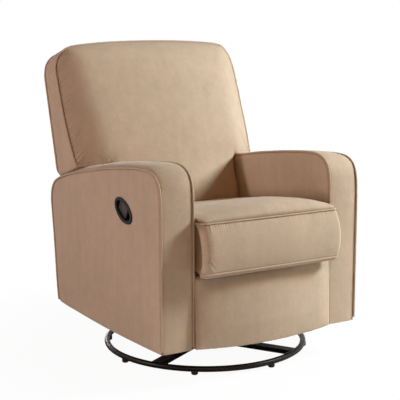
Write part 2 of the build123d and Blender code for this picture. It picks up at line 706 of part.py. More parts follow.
def seat_side():
    """Side plate with its footrest stud and recline stud."""
    side = seat_side_plate()
    side += inward_rivet(upper_pivot(0), SEAT_PLATE_X, TONG_B_OUTER, TONG_PLATE)
    stud_end = SEAT_PLATE_X - SEATED - BACK_BRACKET
    side += disc(RECLINE_PIVOT, RECLINE_PIN, stud_end - SEATED, SEAT_PLATE_X)
    side += disc(RECLINE_PIVOT, RECLINE_HEAD, stud_end - SEATED - CAP_HEIGHT / 2, stud_end - SEATED)
    return side


def seat_frame():
    """Timber frame under the cushion, screwed to the side plates."""
    side = block(RAIL_INNER, RAIL_OUTER, SEAT_RAIL_FRONT, SEAT_RAIL_REAR, RAIL_LOW, RAIL_TOP)
    deep = 2 * SEAT_RAIL_WIDTH
    front_end = SEAT_RAIL_FRONT + deep
    front = block(-RAIL_INNER, RAIL_INNER, SEAT_RAIL_FRONT, front_end, RAIL_LOW, RAIL_TOP)
    inner = SEAT_PLATE_X - SEATED
    rear = block(-inner, inner, SEAT_RAIL_REAR - deep, SEAT_RAIL_REAR, RAIL_LOW, RAIL_TOP)
    return [front + side + mirror(side, about=Plane.YZ), rear]


def seat_straps():
    """Webbing from the front rail to the rear rail."""
    straps = []
    pitch = 2 * RAIL_INNER / STRAP_COUNT
    for index in range(STRAP_COUNT):
        x = (index - (STRAP_COUNT - 1) / 2) * pitch
        low = x - SEAT_STRAP / 2
        high = x + SEAT_STRAP / 2
        strap_top = RAIL_TOP + STRAP_THICK
        straps.append(block(low, high, SEAT_RAIL_FRONT, SEAT_RAIL_REAR, RAIL_TOP, strap_top))
    return straps


def seat_section(y, edge_z, middle_z):
    """Cross-section of the cushion at y: crowned top and drawn-in sides."""
    half = SEAT_HALF_WIDTH
    bulge = SEAT_FRONT_BULGE if y < SEAT_FRONT else SEAT_SIDE_BULGE
    waist = (SEAT_UNDERSIDE + edge_z) / 2
    edges = [
        Line((-half, SEAT_UNDERSIDE), (half, SEAT_UNDERSIDE)),
        ThreePointArc((half, SEAT_UNDERSIDE), (half + bulge, waist), (half, edge_z)),
        ThreePointArc((half, edge_z), (0, middle_z), (-half, edge_z)),
        ThreePointArc((-half, edge_z), (-half - bulge, waist), (-half, SEAT_UNDERSIDE)),
    ]
    return Plane.XZ.offset(-y) * make_face(edges)


def seat_cushion():
    """Box cushion, crowned in both directions, with a rounded front face."""
    body = loft([seat_section(*station) for station in SEAT_CROWN], ruled=True)
    high = 2 * SEAT_UNDERSIDE
    low_front = (SEAT_FRONT, SEAT_UNDERSIDE)
    nose = (SEAT_NOSE, (SEAT_UNDERSIDE + SEAT_TOP_FRONT) / 2)
    front_top = (SEAT_FRONT_TOP, SEAT_TOP_FRONT)
    crest = (SEAT_FRONT_TOP + SEAT_CREST[0], SEAT_TOP_FRONT + SEAT_CREST[1])
    bend = (SEAT_FRONT_TOP + SEAT_BEND[0], SEAT_TOP_FRONT + SEAT_BEND[1])
    side = make_face([
        Line((SEAT_REAR_SIDE, SEAT_UNDERSIDE), low_front),
        ThreePointArc(low_front, nose, front_top),
        ThreePointArc(front_top, bend, crest),
        Line(crest, (crest[0], high)),
        Line((crest[0], high), (SEAT_REAR_SIDE, high)),
        Line((SEAT_REAR_SIDE, high), (SEAT_REAR_SIDE, SEAT_UNDERSIDE)),
    ])
    wide = HALF_WIDTH
    drop = (SEAT_REAR_SIDE - SEAT_REAR) * (wide / SEAT_HALF_WIDTH) ** 2
    rear_corner = (wide, SEAT_REAR + drop)
    plan = make_face([
        Line((-wide, SEAT_NOSE), (wide, SEAT_NOSE)),
        Line((wide, SEAT_NOSE), rear_corner),
        ThreePointArc(rear_corner, (0, SEAT_REAR), (-wide, SEAT_REAR + drop)),
        Line((-wide, SEAT_REAR + drop), (-wide, SEAT_NOSE)),
    ])
    body &= extrude(side_view(-HALF_WIDTH) * side, OVERALL_WIDTH)
    return body & extrude(plan, high)


def seat_cross_tube():
    """Tube that ties the seat's side plates together behind the cushion."""
    low = SLIDE_Z - SWIVEL_RAIL / 2
    return tube_across(SEAT_PLATE_X - SEATED, REAR_SLIDE_Y, SWIVEL_RAIL, low, SWIVEL_RAIL)


save("seat_side_plates", across(seat_side()))
save("seat_slide_pins", across(seat_slide_pin(SLIDE_PINS[0])), across(seat_slide_pin(SLIDE_PINS[1])))
save("seat_cross_tube", seat_cross_tube())
save("seat_frame", *seat_frame())
save("seat_webbing", *seat_straps())
save("seat_cushion", seat_cushion())

# ---------------------------------------------------------------- back
BACK_PLANE = Plane(
    origin=(0, BACK_Y, BACK_Z),
    x_dir=(1, 0, 0),
    z_dir=(0, -cos(radians(BACK_RECLINE)), sin(radians(BACK_RECLINE))),
)
BRACKET_OUTER = SEAT_PLATE_X - SEATED
BACK_FRAME_HALF = BRACKET_OUTER - BACK_BRACKET - SEATED
REAR_SLOPE = (BACK_DEPTH_LOW - BACK_DEPTH_HIGH) / (BACK_TAPER_END - WING_BOTTOM_REAR)


def back_rear(s):
    """Rear face of the back at s."""
    return -BACK_DEPTH_LOW + REAR_SLOPE * (s - WING_BOTTOM_REAR)


def back_section(half, s, edge_u, middle_u):
    """Cross-section of the back at s, flat behind and crowned in front."""
    rear = -2 * BACK_DEPTH_LOW
    edges = [
        Line((-half, rear), (half, rear)),
        Line((half, rear), (half, edge_u)),
        ThreePointArc((half, edge_u), (0, middle_u), (-half, edge_u)),
        Line((-half, edge_u), (-half, rear)),
    ]
    return Plane.XZ.offset(-s) * make_face(edges)


def back_side_face(bottom_front, bottom_rear):
    """Side outline of the back with its tapered rear and rounded top."""
    high = 2 * BACK_DEPTH_LOW
    taper = (BACK_TAPER_END, -BACK_DEPTH_HIGH)
    crest = (BACK_TOP, -BACK_TOP_DEPTH)
    bend = (BACK_TAPER_END + BACK_ROUND[0], -BACK_DEPTH_HIGH + BACK_ROUND[1])
    return make_face([
        Line((bottom_front, high), (bottom_front, 0)),
        Line((bottom_front, 0), (bottom_rear, back_rear(bottom_rear))),
        Line((bottom_rear, back_rear(bottom_rear)), taper),
        ThreePointArc(taper, bend, crest),
        Line(crest, (BACK_TOP, high)),
        Line((BACK_TOP, high), (bottom_front, high)),
    ])


def back_outline():
    """Front outline of the upper back: arched top with rounded corners."""
    low = 0
    corner = (HALF_WIDTH, BACK_CORNER_TOP)
    face = make_face([
        Line((-HALF_WIDTH, low), (HALF_WIDTH, low)),
        Line((HALF_WIDTH, low), corner),
        ThreePointArc(corner, (0, BACK_TOP), (-HALF_WIDTH, BACK_CORNER_TOP)),
        Line((-HALF_WIDTH, BACK_CORNER_TOP), (-HALF_WIDTH, low)),
    ])
    return fillet(face.vertices().sort_by(Axis.Y)[-2:], BACK_CORNER_RADIUS)


def back_body():
    """T-shaped back: full width above the arms, narrower between them."""
    upper = loft([back_section(HALF_WIDTH, *station) for station in WING_CROWN])
    upper &= extrude(side_view(-HALF_WIDTH) * back_side_face(WING_BOTTOM, WING_BOTTOM_REAR), OVERALL_WIDTH)
    upper &= extrude(Pos(0, 0, -2 * BACK_DEPTH_LOW) * back_outline(), 4 * BACK_DEPTH_LOW)
    lower = loft([back_section(BACK_LOWER_HALF, *station) for station in LUMBAR_CROWN])
    lower &= extrude(side_view(-HALF_WIDTH) * back_side_face(BACK_BOTTOM, BACK_BOTTOM), OVERALL_WIDTH)
    low = WING_BOTTOM - NECK_LAP
    high = WING_BOTTOM_REAR + NECK_LAP
    neck = Box(2 * BACK_LOWER_HALF, high - low, BACK_DEPTH_LOW)
    neck = Pos(0, (low + high) / 2, -BACK_DEPTH_LOW / 2) * neck
    return upper + lower + neck - recline_notches()


def rear_skin(extra=0.0):
    """Layer at the rear of the back, up to the start of its rounded top."""
    low = BACK_FRAME_BOTTOM
    high = BACK_TAPER_END
    front = OUTSIDE_PANEL + extra
    face = outline([
        (low - extra, -2 * BACK_DEPTH_LOW),
        (low - extra, back_rear(low) + front),
        (high + extra, back_rear(high) + front),
        (high + extra, -2 * BACK_DEPTH_LOW),
    ])
    return extrude(side_view(-HALF_WIDTH) * face, OVERALL_WIDTH)


def back_cushion(body):
    return body - back_pocket() - rear_skin(SEATED)


def back_pocket():
    """Space in the rear of the cushion for the frame, its brackets and the outside panel."""
    low = BACK_FRAME_BOTTOM - SEATED
    high = BACK_FRAME_TOP + SEATED
    front = BACK_FRAME_FRONT + SEATED
    pocket = Box(2 * BRACKET_OUTER + 2 * SEATED, high - low, 2 * BACK_DEPTH_LOW)
    return Pos(0, (low + high) / 2, front - BACK_DEPTH_LOW) * pocket


def recline_notches():
    """Cut-outs at the two lower rear corners for the recline pivots."""
    inner = BACK_FRAME_HALF - BACK_NOTCH
    wide = BACK_LOWER_HALF - inner + BACK_NOTCH
    notch = Box(wide, 2 * (BACK_FRAME_BOTTOM - SEATED), 2 * BACK_DEPTH_LOW)
    notch = Pos(inner + wide / 2, 0, BACK_FRAME_FRONT + SEATED - BACK_DEPTH_LOW) * notch
    return notch + mirror(notch, about=Plane.YZ)


back = back_body()
save("back_cushion", BACK_PLANE * back_cushion(back))


def back_frame():
    """Timber frame: two stiles joined by a top, a middle and a bottom rail."""
    half = BACK_FRAME_HALF
    face = outline([
        (-half, BACK_FRAME_BOTTOM),
        (half, BACK_FRAME_BOTTOM),
        (half, BACK_FRAME_TOP),
        (-half, BACK_FRAME_TOP),
    ])
    middle = (BACK_FRAME_TOP + BACK_FRAME_BOTTOM) / 2
    gap = (BACK_FRAME_TOP - BACK_FRAME_BOTTOM - 3 * BACK_FRAME_RAIL) / 2
    for side in (-1, 1):
        opening = Rectangle(2 * half - 2 * BACK_FRAME_RAIL, gap)
        face -= Pos(0, middle + side * (gap + BACK_FRAME_RAIL) / 2) * opening
    return Pos(0, 0, BACK_FRAME_FRONT - BACK_FRAME_DEPTH) * extrude(face, BACK_FRAME_DEPTH)


def back_straps():
    """Webbing across the rear of the back frame."""
    straps = []
    half = BACK_FRAME_HALF
    rear = BACK_FRAME_FRONT - BACK_FRAME_DEPTH
    pitch = (BACK_FRAME_TOP - BACK_FRAME_BOTTOM - BACK_FRAME_RAIL) / STRAP_COUNT
    for index in range(STRAP_COUNT):
        s = BACK_FRAME_BOTTOM + BACK_FRAME_RAIL / 2 + pitch * (index + 0.5)
        straps.append(Pos(0, s, rear - STRAP_THICK / 2) * Box(2 * half, BACK_STRAP, STRAP_THICK))
    return straps


def back_bracket():
    """Steel bracket on a stile's outer side that turns on the seat's stud."""
    inner = BRACKET_OUTER - BACK_BRACKET
    pivot = (RECLINE_S, RECLINE_U)
    front = BACK_FRAME_FRONT
    rear = front - BACK_FRAME_DEPTH
    blade = outline([
        (RECLINE_S - RECLINE_EYE / 2, rear - BACK_BRACKET_FLARE),
        (BACK_BRACKET_TOP, rear),
        (BACK_BRACKET_TOP, front),
        (BACK_FRAME_BOTTOM, front),
    ])
    face = blade + Pos(*pivot) * Circle(RECLINE_EYE)
    face -= Pos(*pivot) * Circle(RECLINE_PIN / 2 + RUNNING)
    return extrude(side_view(inner) * face, BACK_BRACKET)


def outside_back(body):
    """Thin padded panel over the rear of the back."""
    return body & rear_skin()


save("back_frame", BACK_PLANE * back_frame())
save("back_webbing", [BACK_PLANE * strap for strap in back_straps()])
save("back_brackets", across(BACK_PLANE * back_bracket()))
save("outside_back", BACK_PLANE * outside_back(back))

# ---------------------------------------------------------------- footrest linkage
BRACKET_X = TONG_B_OUTER + TONG_PLATE + TONG_GAP
BRACKET_END = BRACKET_X + SEAT_PLATE
TILT_X = BRACKET_END + TONG_GAP
TILT_OUTER = TILT_X + SEAT_PLATE
EAR_OUTER = TONG_B_OUTER + SEAT_PLATE


def middle_of(first, second):
    return ((first[0] + second[0]) / 2, (first[1] + second[1]) / 2)


def outer_link(stage):
    """Link from an upper pivot to the next lower pivot, with its studs through the inner links."""
    start = upper_pivot(stage - 1)
    end = lower_pivot(stage)
    centre = middle_of(start, end)
    link = strap_between(start, end, TONG_WIDTH, TONG_B, TONG_B_OUTER)
    link += inward_rivet(centre, TONG_B, TONG_A_OUTER, TONG_PLATE)
    if stage > 1:
        link += inward_rivet(start, TONG_B, TONG_A_OUTER, TONG_PLATE)
    else:
        link -= disc(start, TONG_PIN + 2 * RUNNING, TONG_B, TONG_B_OUTER)
    if stage < TONG_STAGES:
        link += inward_rivet(end, TONG_B, TONG_A_OUTER, TONG_PLATE)
    else:
        link += tilt_ear(start, end, centre)
    return link


def tilt_stud(start, end, centre):
    """Place of the stud that carries the tilt link, beside the last outer link."""
    run = hypot(start[0] - end[0], start[1] - end[1])
    along = ((start[0] - end[0]) / run, (start[1] - end[1]) / run)
    rear = (along[1], -along[0])
    return (
        centre[0] + EAR_ALONG * along[0] + EAR_ACROSS * rear[0],
        centre[1] + EAR_ALONG * along[1] + EAR_ACROSS * rear[1],
    )


def tilt_ear(start, end, centre):
    """Ear on the outer face of the last outer link, with its headed stud."""
    stud = tilt_stud(start, end, centre)
    ear = strap_between(centre, stud, TONG_WIDTH, TONG_B_OUTER, EAR_OUTER)
    ear += disc(stud, TONG_PIN, EAR_OUTER, TILT_OUTER + SEATED)
    return ear + disc(stud, TONG_HEAD, TILT_OUTER + SEATED, TILT_OUTER + SEATED + TONG_HEAD_THICK)


def inner_link(stage):
    """Link from a lower pivot to the next upper pivot, with holes for the studs."""
    start = lower_pivot(stage - 1)
    end = upper_pivot(stage)
    centre = middle_of(start, end)
    link = strap_between(start, end, TONG_WIDTH, TONG_A, TONG_A_OUTER)
    first = stage == 1
    centre_play = RUNNING if first else OPEN_PIVOT / 2
    link -= disc(centre, TONG_PIN + 2 * centre_play, TONG_A, TONG_A_OUTER)
    if first:
        link += slot_stud(start)
    else:
        link -= disc(start, TONG_PIN + 2 * RUNNING, TONG_A, TONG_A_OUTER)
    if stage < TONG_STAGES:
        link -= disc(end, TONG_PIN + 2 * RUNNING, TONG_A, TONG_A_OUTER)
    else:
        link += front_stud(end)
    return link


def slot_stud(place):
    """Stud of the first inner link that slides in the slot of the seat's side plate."""
    plate_end = SEAT_PLATE_X + SEAT_PLATE
    stud = disc(place, TONG_PIN, TONG_A_OUTER, plate_end + SEATED)
    return stud + disc(place, TONG_HEAD, plate_end + SEATED, plate_end + SEATED + TONG_HEAD_THICK)


def front_stud(place):
    """Stud of the last inner link that carries the footrest bracket."""
    stud = disc(place, TONG_PIN, TONG_A_OUTER, BRACKET_END + SEATED)
    return stud + disc(place, TONG_HEAD, BRACKET_END + SEATED, BRACKET_END + SEATED + TONG_HEAD_THICK)


FRONT_PIVOT = upper_pivot(TONG_STAGES)
TILT_PIVOT = (FRONT_PIVOT[0] + TILT_BACK, FRONT_PIVOT[1] - TILT_DOWN)
TILT_STUD = tilt_stud(
    upper_pivot(TONG_STAGES - 1),
    lower_pivot(TONG_STAGES),
    middle_of(upper_pivot(TONG_STAGES - 1), lower_pivot(TONG_STAGES)),
)


def footrest_bracket():
    """Plate behind the footrest with its two pivots and a flange on the board."""
    back = FOOTREST_BACK + SEATED
    high = FRONT_PIVOT[1] + BRACKET_EYE
    blade = outline([
        (back, high),
        (FRONT_PIVOT[0], high),
        (TILT_PIVOT[0], TILT_PIVOT[1] + BRACKET_EYE),
        (TILT_PIVOT[0], TILT_PIVOT[1] - BRACKET_EYE),
        (back, FRONT_PIVOT[1] - BRACKET_DROP),
    ])
    face = blade + Pos(*TILT_PIVOT) * Circle(BRACKET_EYE)
    face -= Pos(*FRONT_PIVOT) * Circle(TONG_PIN / 2 + RUNNING)
    bracket = extrude(side_view(BRACKET_X) * face, SEAT_PLATE)
    low = FRONT_PIVOT[1] - FLANGE_DROP
    bracket += block(BRACKET_X - FLANGE_WIDTH, BRACKET_END, back, back + SEAT_PLATE / 2, low, high)
    end = TILT_OUTER + SEATED
    pin = disc(TILT_PIVOT, TONG_PIN, BRACKET_END, end)
    return bracket + pin + disc(TILT_PIVOT, TONG_HEAD, end, end + TONG_HEAD_THICK)


def tilt_link():
    """Link that turns the footrest up as the lazy tongs open."""
    link = strap_between(TILT_STUD, TILT_PIVOT, TONG_WIDTH, TILT_X, TILT_OUTER)
    link -= disc(TILT_STUD, TONG_PIN + 2 * RUNNING, TILT_X, TILT_OUTER)
    return link - disc(TILT_PIVOT, TONG_PIN + 2 * OPEN_PIVOT, TILT_X, TILT_OUTER)


def footrest_outline(inset):
    """Front outline of the footrest, with a lower edge that sags to the middle."""
    half = FOOTREST_HALF - inset
    low = FOOTREST_BOTTOM + inset
    top = FOOTREST_TOP - inset
    face = make_face([
        Line((-half, top), (half, top)),
        Line((half, top), (half, low)),
        ThreePointArc((half, low), (0, low - FOOTREST_SAG), (-half, low)),
        Line((-half, low), (-half, top)),
    ])
    return fillet(face.vertices(), FOOTREST_CORNER)


def footrest_board():
    """Plywood board behind the footrest pad."""
    face = Plane.XZ.offset(-FOOTREST_BACK) * footrest_outline(FOOTREST_ROUND / 2)
    return extrude(face, FOOTREST_BOARD)


def footrest_pad():
    """Upholstered front of the footrest: gently domed, with soft edges."""
    rear = FOOTREST_BACK - FOOTREST_BOARD - SEATED
    body = extrude(Plane.XZ.offset(-rear) * footrest_outline(0), rear - FOOTREST_FACE + FOOTREST_BULGE)
    low = FOOTREST_BOTTOM - 2 * FOOTREST_SAG
    waist = (FOOTREST_TOP + low) / 2
    high_front = (FOOTREST_FACE + FOOTREST_ROUND, FOOTREST_TOP)
    low_front = (FOOTREST_FACE + FOOTREST_ROUND, low)
    high_face = (FOOTREST_FACE, FOOTREST_TOP - FOOTREST_ROUND)
    low_face = (FOOTREST_FACE, low + FOOTREST_ROUND)
    soft = FOOTREST_ROUND * (1 - cos(radians(45)))
    side = make_face([
        Line((rear, low), (rear, FOOTREST_TOP)),
        Line((rear, FOOTREST_TOP), high_front),
        ThreePointArc(high_front, (FOOTREST_FACE + soft, FOOTREST_TOP - soft), high_face),
        ThreePointArc(high_face, (FOOTREST_FACE - FOOTREST_BULGE, waist), low_face),
        ThreePointArc(low_face, (FOOTREST_FACE + soft, low + soft), low_front),
        Line(low_front, (rear, low)),
    ])
    return body & extrude(side_view(-HALF_WIDTH) * side, OVERALL_WIDTH)


for number in range(1, TONG_STAGES + 1):
    save(f"footrest_outer_links_{number}", across(outer_link(number)))
    save(f"footrest_inner_links_{number}", across(inner_link(number)))
save("footrest_tilt_links", across(tilt_link()))
save("footrest_brackets", across(footrest_bracket()))
save("footrest_board", footrest_board())
save("footrest_pad", footrest_pad())
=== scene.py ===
"""Glider nursery chair: upholstery, materials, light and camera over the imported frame."""
import bpy
import bmesh
import json
import numpy as np
from math import cos, pi, radians, sin
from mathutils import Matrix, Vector


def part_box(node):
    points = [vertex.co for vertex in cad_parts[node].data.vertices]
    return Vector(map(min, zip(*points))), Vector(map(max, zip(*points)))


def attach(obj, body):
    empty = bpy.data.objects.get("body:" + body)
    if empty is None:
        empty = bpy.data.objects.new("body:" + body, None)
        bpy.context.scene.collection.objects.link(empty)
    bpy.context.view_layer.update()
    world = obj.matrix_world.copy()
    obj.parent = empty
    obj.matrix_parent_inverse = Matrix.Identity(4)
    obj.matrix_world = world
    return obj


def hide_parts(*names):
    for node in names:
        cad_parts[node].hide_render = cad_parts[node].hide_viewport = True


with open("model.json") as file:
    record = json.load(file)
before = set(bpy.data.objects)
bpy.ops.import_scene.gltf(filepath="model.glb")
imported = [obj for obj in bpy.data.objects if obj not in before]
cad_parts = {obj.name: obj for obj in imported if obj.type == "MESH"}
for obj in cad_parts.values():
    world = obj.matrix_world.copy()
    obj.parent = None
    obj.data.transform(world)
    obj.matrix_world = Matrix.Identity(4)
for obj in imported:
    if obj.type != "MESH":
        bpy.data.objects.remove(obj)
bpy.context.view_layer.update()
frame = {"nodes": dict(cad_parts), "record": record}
MM = 0.001


def corners(node):
    """Low and high corner of a node's box, in millimetres."""
    return [np.array(p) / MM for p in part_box(node)]


# -------- measures, in millimetres
(ARM_INNER, ARM_FRONT, ARM_BOTTOM), (HALF, _, _) = corners("left_arm_cover")
SEAT_BOTTOM = corners("seat_cushion")[0][2]
SEAT_REAR = corners("seat_cushion")[1][1]
PIPING = 3.3  # radius of the piping on arms and back
SEAT_PIPING = 2.7
PIPING_SIDES = 10
PIPING_UNEVEN = 0.05  # share by which its girth varies
CREASE_SHADE_REACH = 3.1  # how far the painted shade in a seam's crease reaches
RECLINE = radians(18.5)
BACK_Y, BACK_Z = 161.6, 370.0


# -------- curves and grids
def smooth_through(points, per=24):
    """Dense centripetal Catmull-Rom curve through points of any dimension."""
    pts = np.array(points, float)
    pts = np.vstack([2 * pts[0] - pts[1], pts, 2 * pts[-1] - pts[-2]])
    t = np.linspace(0, 1, per, endpoint=False)[:, None]
    out = []
    for p0, p1, p2, p3 in zip(pts, pts[1:], pts[2:], pts[3:]):
        d0, d1, d2 = (max(np.linalg.norm(b - a), 1e-6) ** 0.5 for a, b in ((p0, p1), (p1, p2), (p2, p3)))
        m1 = d1 * ((p1 - p0) / d0 - (p2 - p0) / (d0 + d1) + (p2 - p1) / d1)
        m2 = d1 * ((p2 - p1) / d1 - (p3 - p1) / (d1 + d2) + (p3 - p2) / d2)
        out.append((2 * t ** 3 - 3 * t ** 2 + 1) * p1 + (t ** 3 - 2 * t ** 2 + t) * m1
                   + (3 * t ** 2 - 2 * t ** 3) * p2 + (t ** 3 - t ** 2) * m2)
    return np.vstack([*out, pts[-2:-1]])


def lengths(line):
    """Length along a line up to each of its points."""
    return np.concatenate([[0], np.cumsum(np.linalg.norm(np.diff(line, axis=0), axis=1))])


def resample(line, n, spacing=None):
    """n points along a line: even in arc length, or at the given fractions of it."""
    run = lengths(line)
    at = np.linspace(0, 1, n) if spacing is None else np.asarray(spacing)
    return np.stack([np.interp(at * run[-1], run, line[:, k]) for k in range(line.shape[1])], axis=1)


def eased(n, edge=0.35):
    """Fractions from 0 to 1 that lie closer together towards both ends."""
    t = np.linspace(0, 1, n)
    return (1 - edge) * t + edge * (0.5 - 0.5 * np.cos(pi * t))


def ruled(first, last, shares):
    """Grid [j][i] of points that go straight from one line to another."""
    w = shares[:, None, None]
    return (1 - w) * first[None] + w * last[None]


def coons(low, high, left, right):
    """Grid [j][i] between four edges: low and high run along i, left and right along j."""
    u = np.linspace(0, 1, len(low))[None, :, None]
    v = np.linspace(0, 1, len(left))[:, None, None]
    both = (1 - v) * low[None] + v * high[None] + (1 - u) * left[:, None] + u * right[:, None]
    return both - ((1 - u) * (1 - v) * low[0] + u * (1 - v) * low[-1]
                   + (1 - u) * v * high[0] + u * v * high[-1])


def distance_to(points, line, at_once=4000):
    """Distance from each point to a line, and how far along it the nearest place is."""
    flat = points.reshape(-1, points.shape[-1])
    run = lengths(line)
    best = np.zeros(len(flat))
    along = np.zeros(len(flat))
    for first in range(0, len(flat), at_once):
        part = slice(first, first + at_once)
        gap = np.linalg.norm(flat[part, None] - line[None], axis=2)
        best[part] = gap.min(axis=1)
        along[part] = run[gap.argmin(axis=1)]
    return best.reshape(points.shape[:-1]), along.reshape(points.shape[:-1])


def fall(distance, reach, power=2.0):
    """1 where the distance is 0, falling away towards 0 past the reach."""
    return np.exp(-(distance / reach) ** power)


def past(value, start=0.0):
    """How far a value lies past the start, and 0 before it."""
    return np.maximum(value - start, 0)


def share(value, start, end):
    """Place of a value between start and end, held between 0 and 1."""
    return np.clip((value - start) / (end - start), 0, 1)


def smooth_step(t):
    """0 to 1 as t is, with level ends."""
    return t * t * (3 - 2 * t)


def swell(t, power):
    """0 at t = 0 and 1, and 1 half-way: the higher the power, the flatter the middle."""
    return 1 - np.abs(2 * t - 1) ** power


def hashed(value, seed=0.0):
    """Repeatable numbers from 0 to 1."""
    return np.modf(np.abs(np.sin(value * 12.9898 + seed * 78.233) * 43758.5453))[0]


def wave_noise(t, seed=0.0):
    """Smooth one-dimensional noise about -1 to 1, one feature per unit of t."""
    k = np.floor(t)
    f = smooth_step(t - k)
    return 2 * ((1 - f) * hashed(k, seed) + f * hashed(k + 1, seed)) - 1


def puckers(depth, along, pitch, fade, seed):
    """Fine folds that run away from a seam and die out with the distance from it."""
    wide = wave_noise(along / pitch, seed)
    narrow = wave_noise(along / (0.47 * pitch), seed + 3.1)
    reach = fade * (0.65 + 0.6 * hashed(np.floor(along / pitch), seed + 7))
    return (0.7 * wide + 0.4 * narrow) * fall(depth, reach, 1.4)


def painted_crease_shade(depth):
    """How strongly the painted shade of a seam's crease darkens the cloth at a distance from it."""
    return fall(past(depth), CREASE_SHADE_REACH, 1.6)


# -------- meshes
def add_piece(name, verts, faces, material, layers=(), weld=None):
    """A smooth object from points in millimetres, with its normals facing out."""
    mesh = bpy.data.meshes.new(name)
    mesh.from_pydata((np.array(verts) * MM).tolist(), [], faces)
    for key, kind, field, values in layers:
        layer = mesh.attributes.new(key, kind, "POINT")
        layer.data.foreach_set(field, np.array(values, dtype=np.float32).reshape(-1))
    bm = bmesh.new()
    bm.from_mesh(mesh)
    if weld:
        bmesh.ops.remove_doubles(bm, verts=bm.verts, dist=weld * MM)
    bmesh.ops.recalc_face_normals(bm, faces=bm.faces)
    bm.to_mesh(mesh)
    bm.free()
    for polygon in mesh.polygons:
        polygon.use_smooth = True
    obj = bpy.data.objects.new(name, mesh)
    bpy.context.scene.collection.objects.link(obj)
    mesh.materials.append(material)
    return obj


class Skin:
    """Grids that are welded into one mesh."""

    def __init__(self):
        self.verts, self.faces, self.seams, self.gathers = [], [], [], []

    def grid(self, grid, seam=0.0, gather=(0.0, 0.0, 0.0)):
        """Adds a grid with painted shade at each point for creases and recesses; gather holds the place along
        a seam, the distance from it and a strength.
        """
        base = len(self.verts)
        m, n = grid.shape[:2]
        self.verts += grid.reshape(-1, 3).tolist()
        self.seams += np.broadcast_to(seam, (m, n)).reshape(-1).tolist()
        layers = [np.broadcast_to(layer, (m, n)) for layer in gather]
        self.gathers += np.dstack(layers).reshape(-1, 3).tolist()
        for j in range(m - 1):
            for i in range(n - 1):
                a = base + j * n + i
                self.faces.append((a, a + 1, a + n + 1, a + n))

    def build(self, name, weld):
        # the first layer holds painted shade for creases, recesses and the lip
        layers = (("seam", "FLOAT", "value", self.seams), ("gather", "FLOAT_VECTOR", "vector", self.gathers))
        return add_piece(name, self.verts, self.faces, FABRIC, layers, weld)


def dress(piece, body, fill, *nodes):
    """Puts a padded piece on its body in place of the plain solids that it covers."""
    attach(piece, body)
    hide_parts(*nodes)


def piping(name, line, radius, step, body):
    """A welt along a line: a tube with round ends and a slightly uneven girth."""
    count = max(8, int(lengths(line)[-1] / step))
    pts = resample(line, count)
    tangent = np.gradient(pts, axis=0)
    tangent /= np.linalg.norm(tangent, axis=1, keepdims=True)
    girth = radius * (1 + PIPING_UNEVEN * wave_noise(np.arange(count) * 0.7, 5.0))
    angles = np.linspace(0, 2 * pi, PIPING_SIDES, endpoint=False)
    side = np.cross(tangent[0], (0.13, 0.31, 0.94))
    rings = []
    for place, way, wide in zip(pts, tangent, girth):
        side = side - way * np.dot(side, way)
        side /= np.linalg.norm(side)
        rings.append([place + wide * (cos(a) * side + sin(a) * np.cross(way, side)) for a in angles])

    def cap(end, way, ring, lean):
        return [end + way * radius * sin(lean) * 0.8 + (p - end) * cos(lean) for p in ring]

    shallow, steep = radians(35), radians(70)
    head = [cap(pts[0], -tangent[0], rings[0], lean) for lean in (steep, shallow)]
    tail = [cap(pts[-1], tangent[-1], rings[-1], lean) for lean in (shallow, steep)]
    rings = head + rings + tail
    faces = [tuple(range(PIPING_SIDES))[::-1]]
    for here in range(0, (len(rings) - 1) * PIPING_SIDES, PIPING_SIDES):
        there = here + PIPING_SIDES
        for i in range(PIPING_SIDES):
            after = (i + 1) % PIPING_SIDES
            faces.append((here + i, here + after, there + after, there + i))
    faces.append(tuple((len(rings) - 1) * PIPING_SIDES + i for i in range(PIPING_SIDES)))
    welt = add_piece(name, np.array(rings).reshape(-1, 3), faces, WELT_CLOTH)
    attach(welt, body)


# -------- materials
def linear(r, g, b):
    """An sRGB colour from 0 to 255 as linear values."""
    out = []
    for c in (r, g, b):
        c = c / 255
        out.append(c / 12.92 if c <= 0.04045 else ((c + 0.055) / 1.055) ** 2.4)
    return (*out, 1.0)


def tinted(colour, factors):
    """A colour times one factor, or times one for each channel."""
    return (*np.minimum(np.array(colour[:3]) * factors, 1.0).tolist(), 1.0)


class Nodes:
    """The node tree of a material or world."""

    def __init__(self, owner):
        owner.use_nodes = True
        self.tree = owner.node_tree

    def add(self, kind, inputs=None, **settings):
        """A node with its settings and its inputs, each a plain value or another node's socket."""
        node = self.tree.nodes.new(kind)
        for key, value in settings.items():
            setattr(node, key, value)
        for key, value in (inputs or {}).items():
            if isinstance(value, bpy.types.NodeSocket):
                self.tree.links.new(value, node.inputs[key])
            else:
                node.inputs[key].default_value = value
        return node

    def math(self, operation, a, b):
        """Result of a math node."""
        return self.add("ShaderNodeMath", {0: a, 1: b}, operation=operation).outputs[0]

    def ramp(self, source, low, high, out_low=0.0, out_high=1.0):
        """A value brought from one range to another and held inside it."""
        ends = {"From Min": low, "From Max": high, "To Min": out_low, "To Max": out_high}
        return self.add("ShaderNodeMapRange", {"Value": source, **ends}).outputs["Result"]


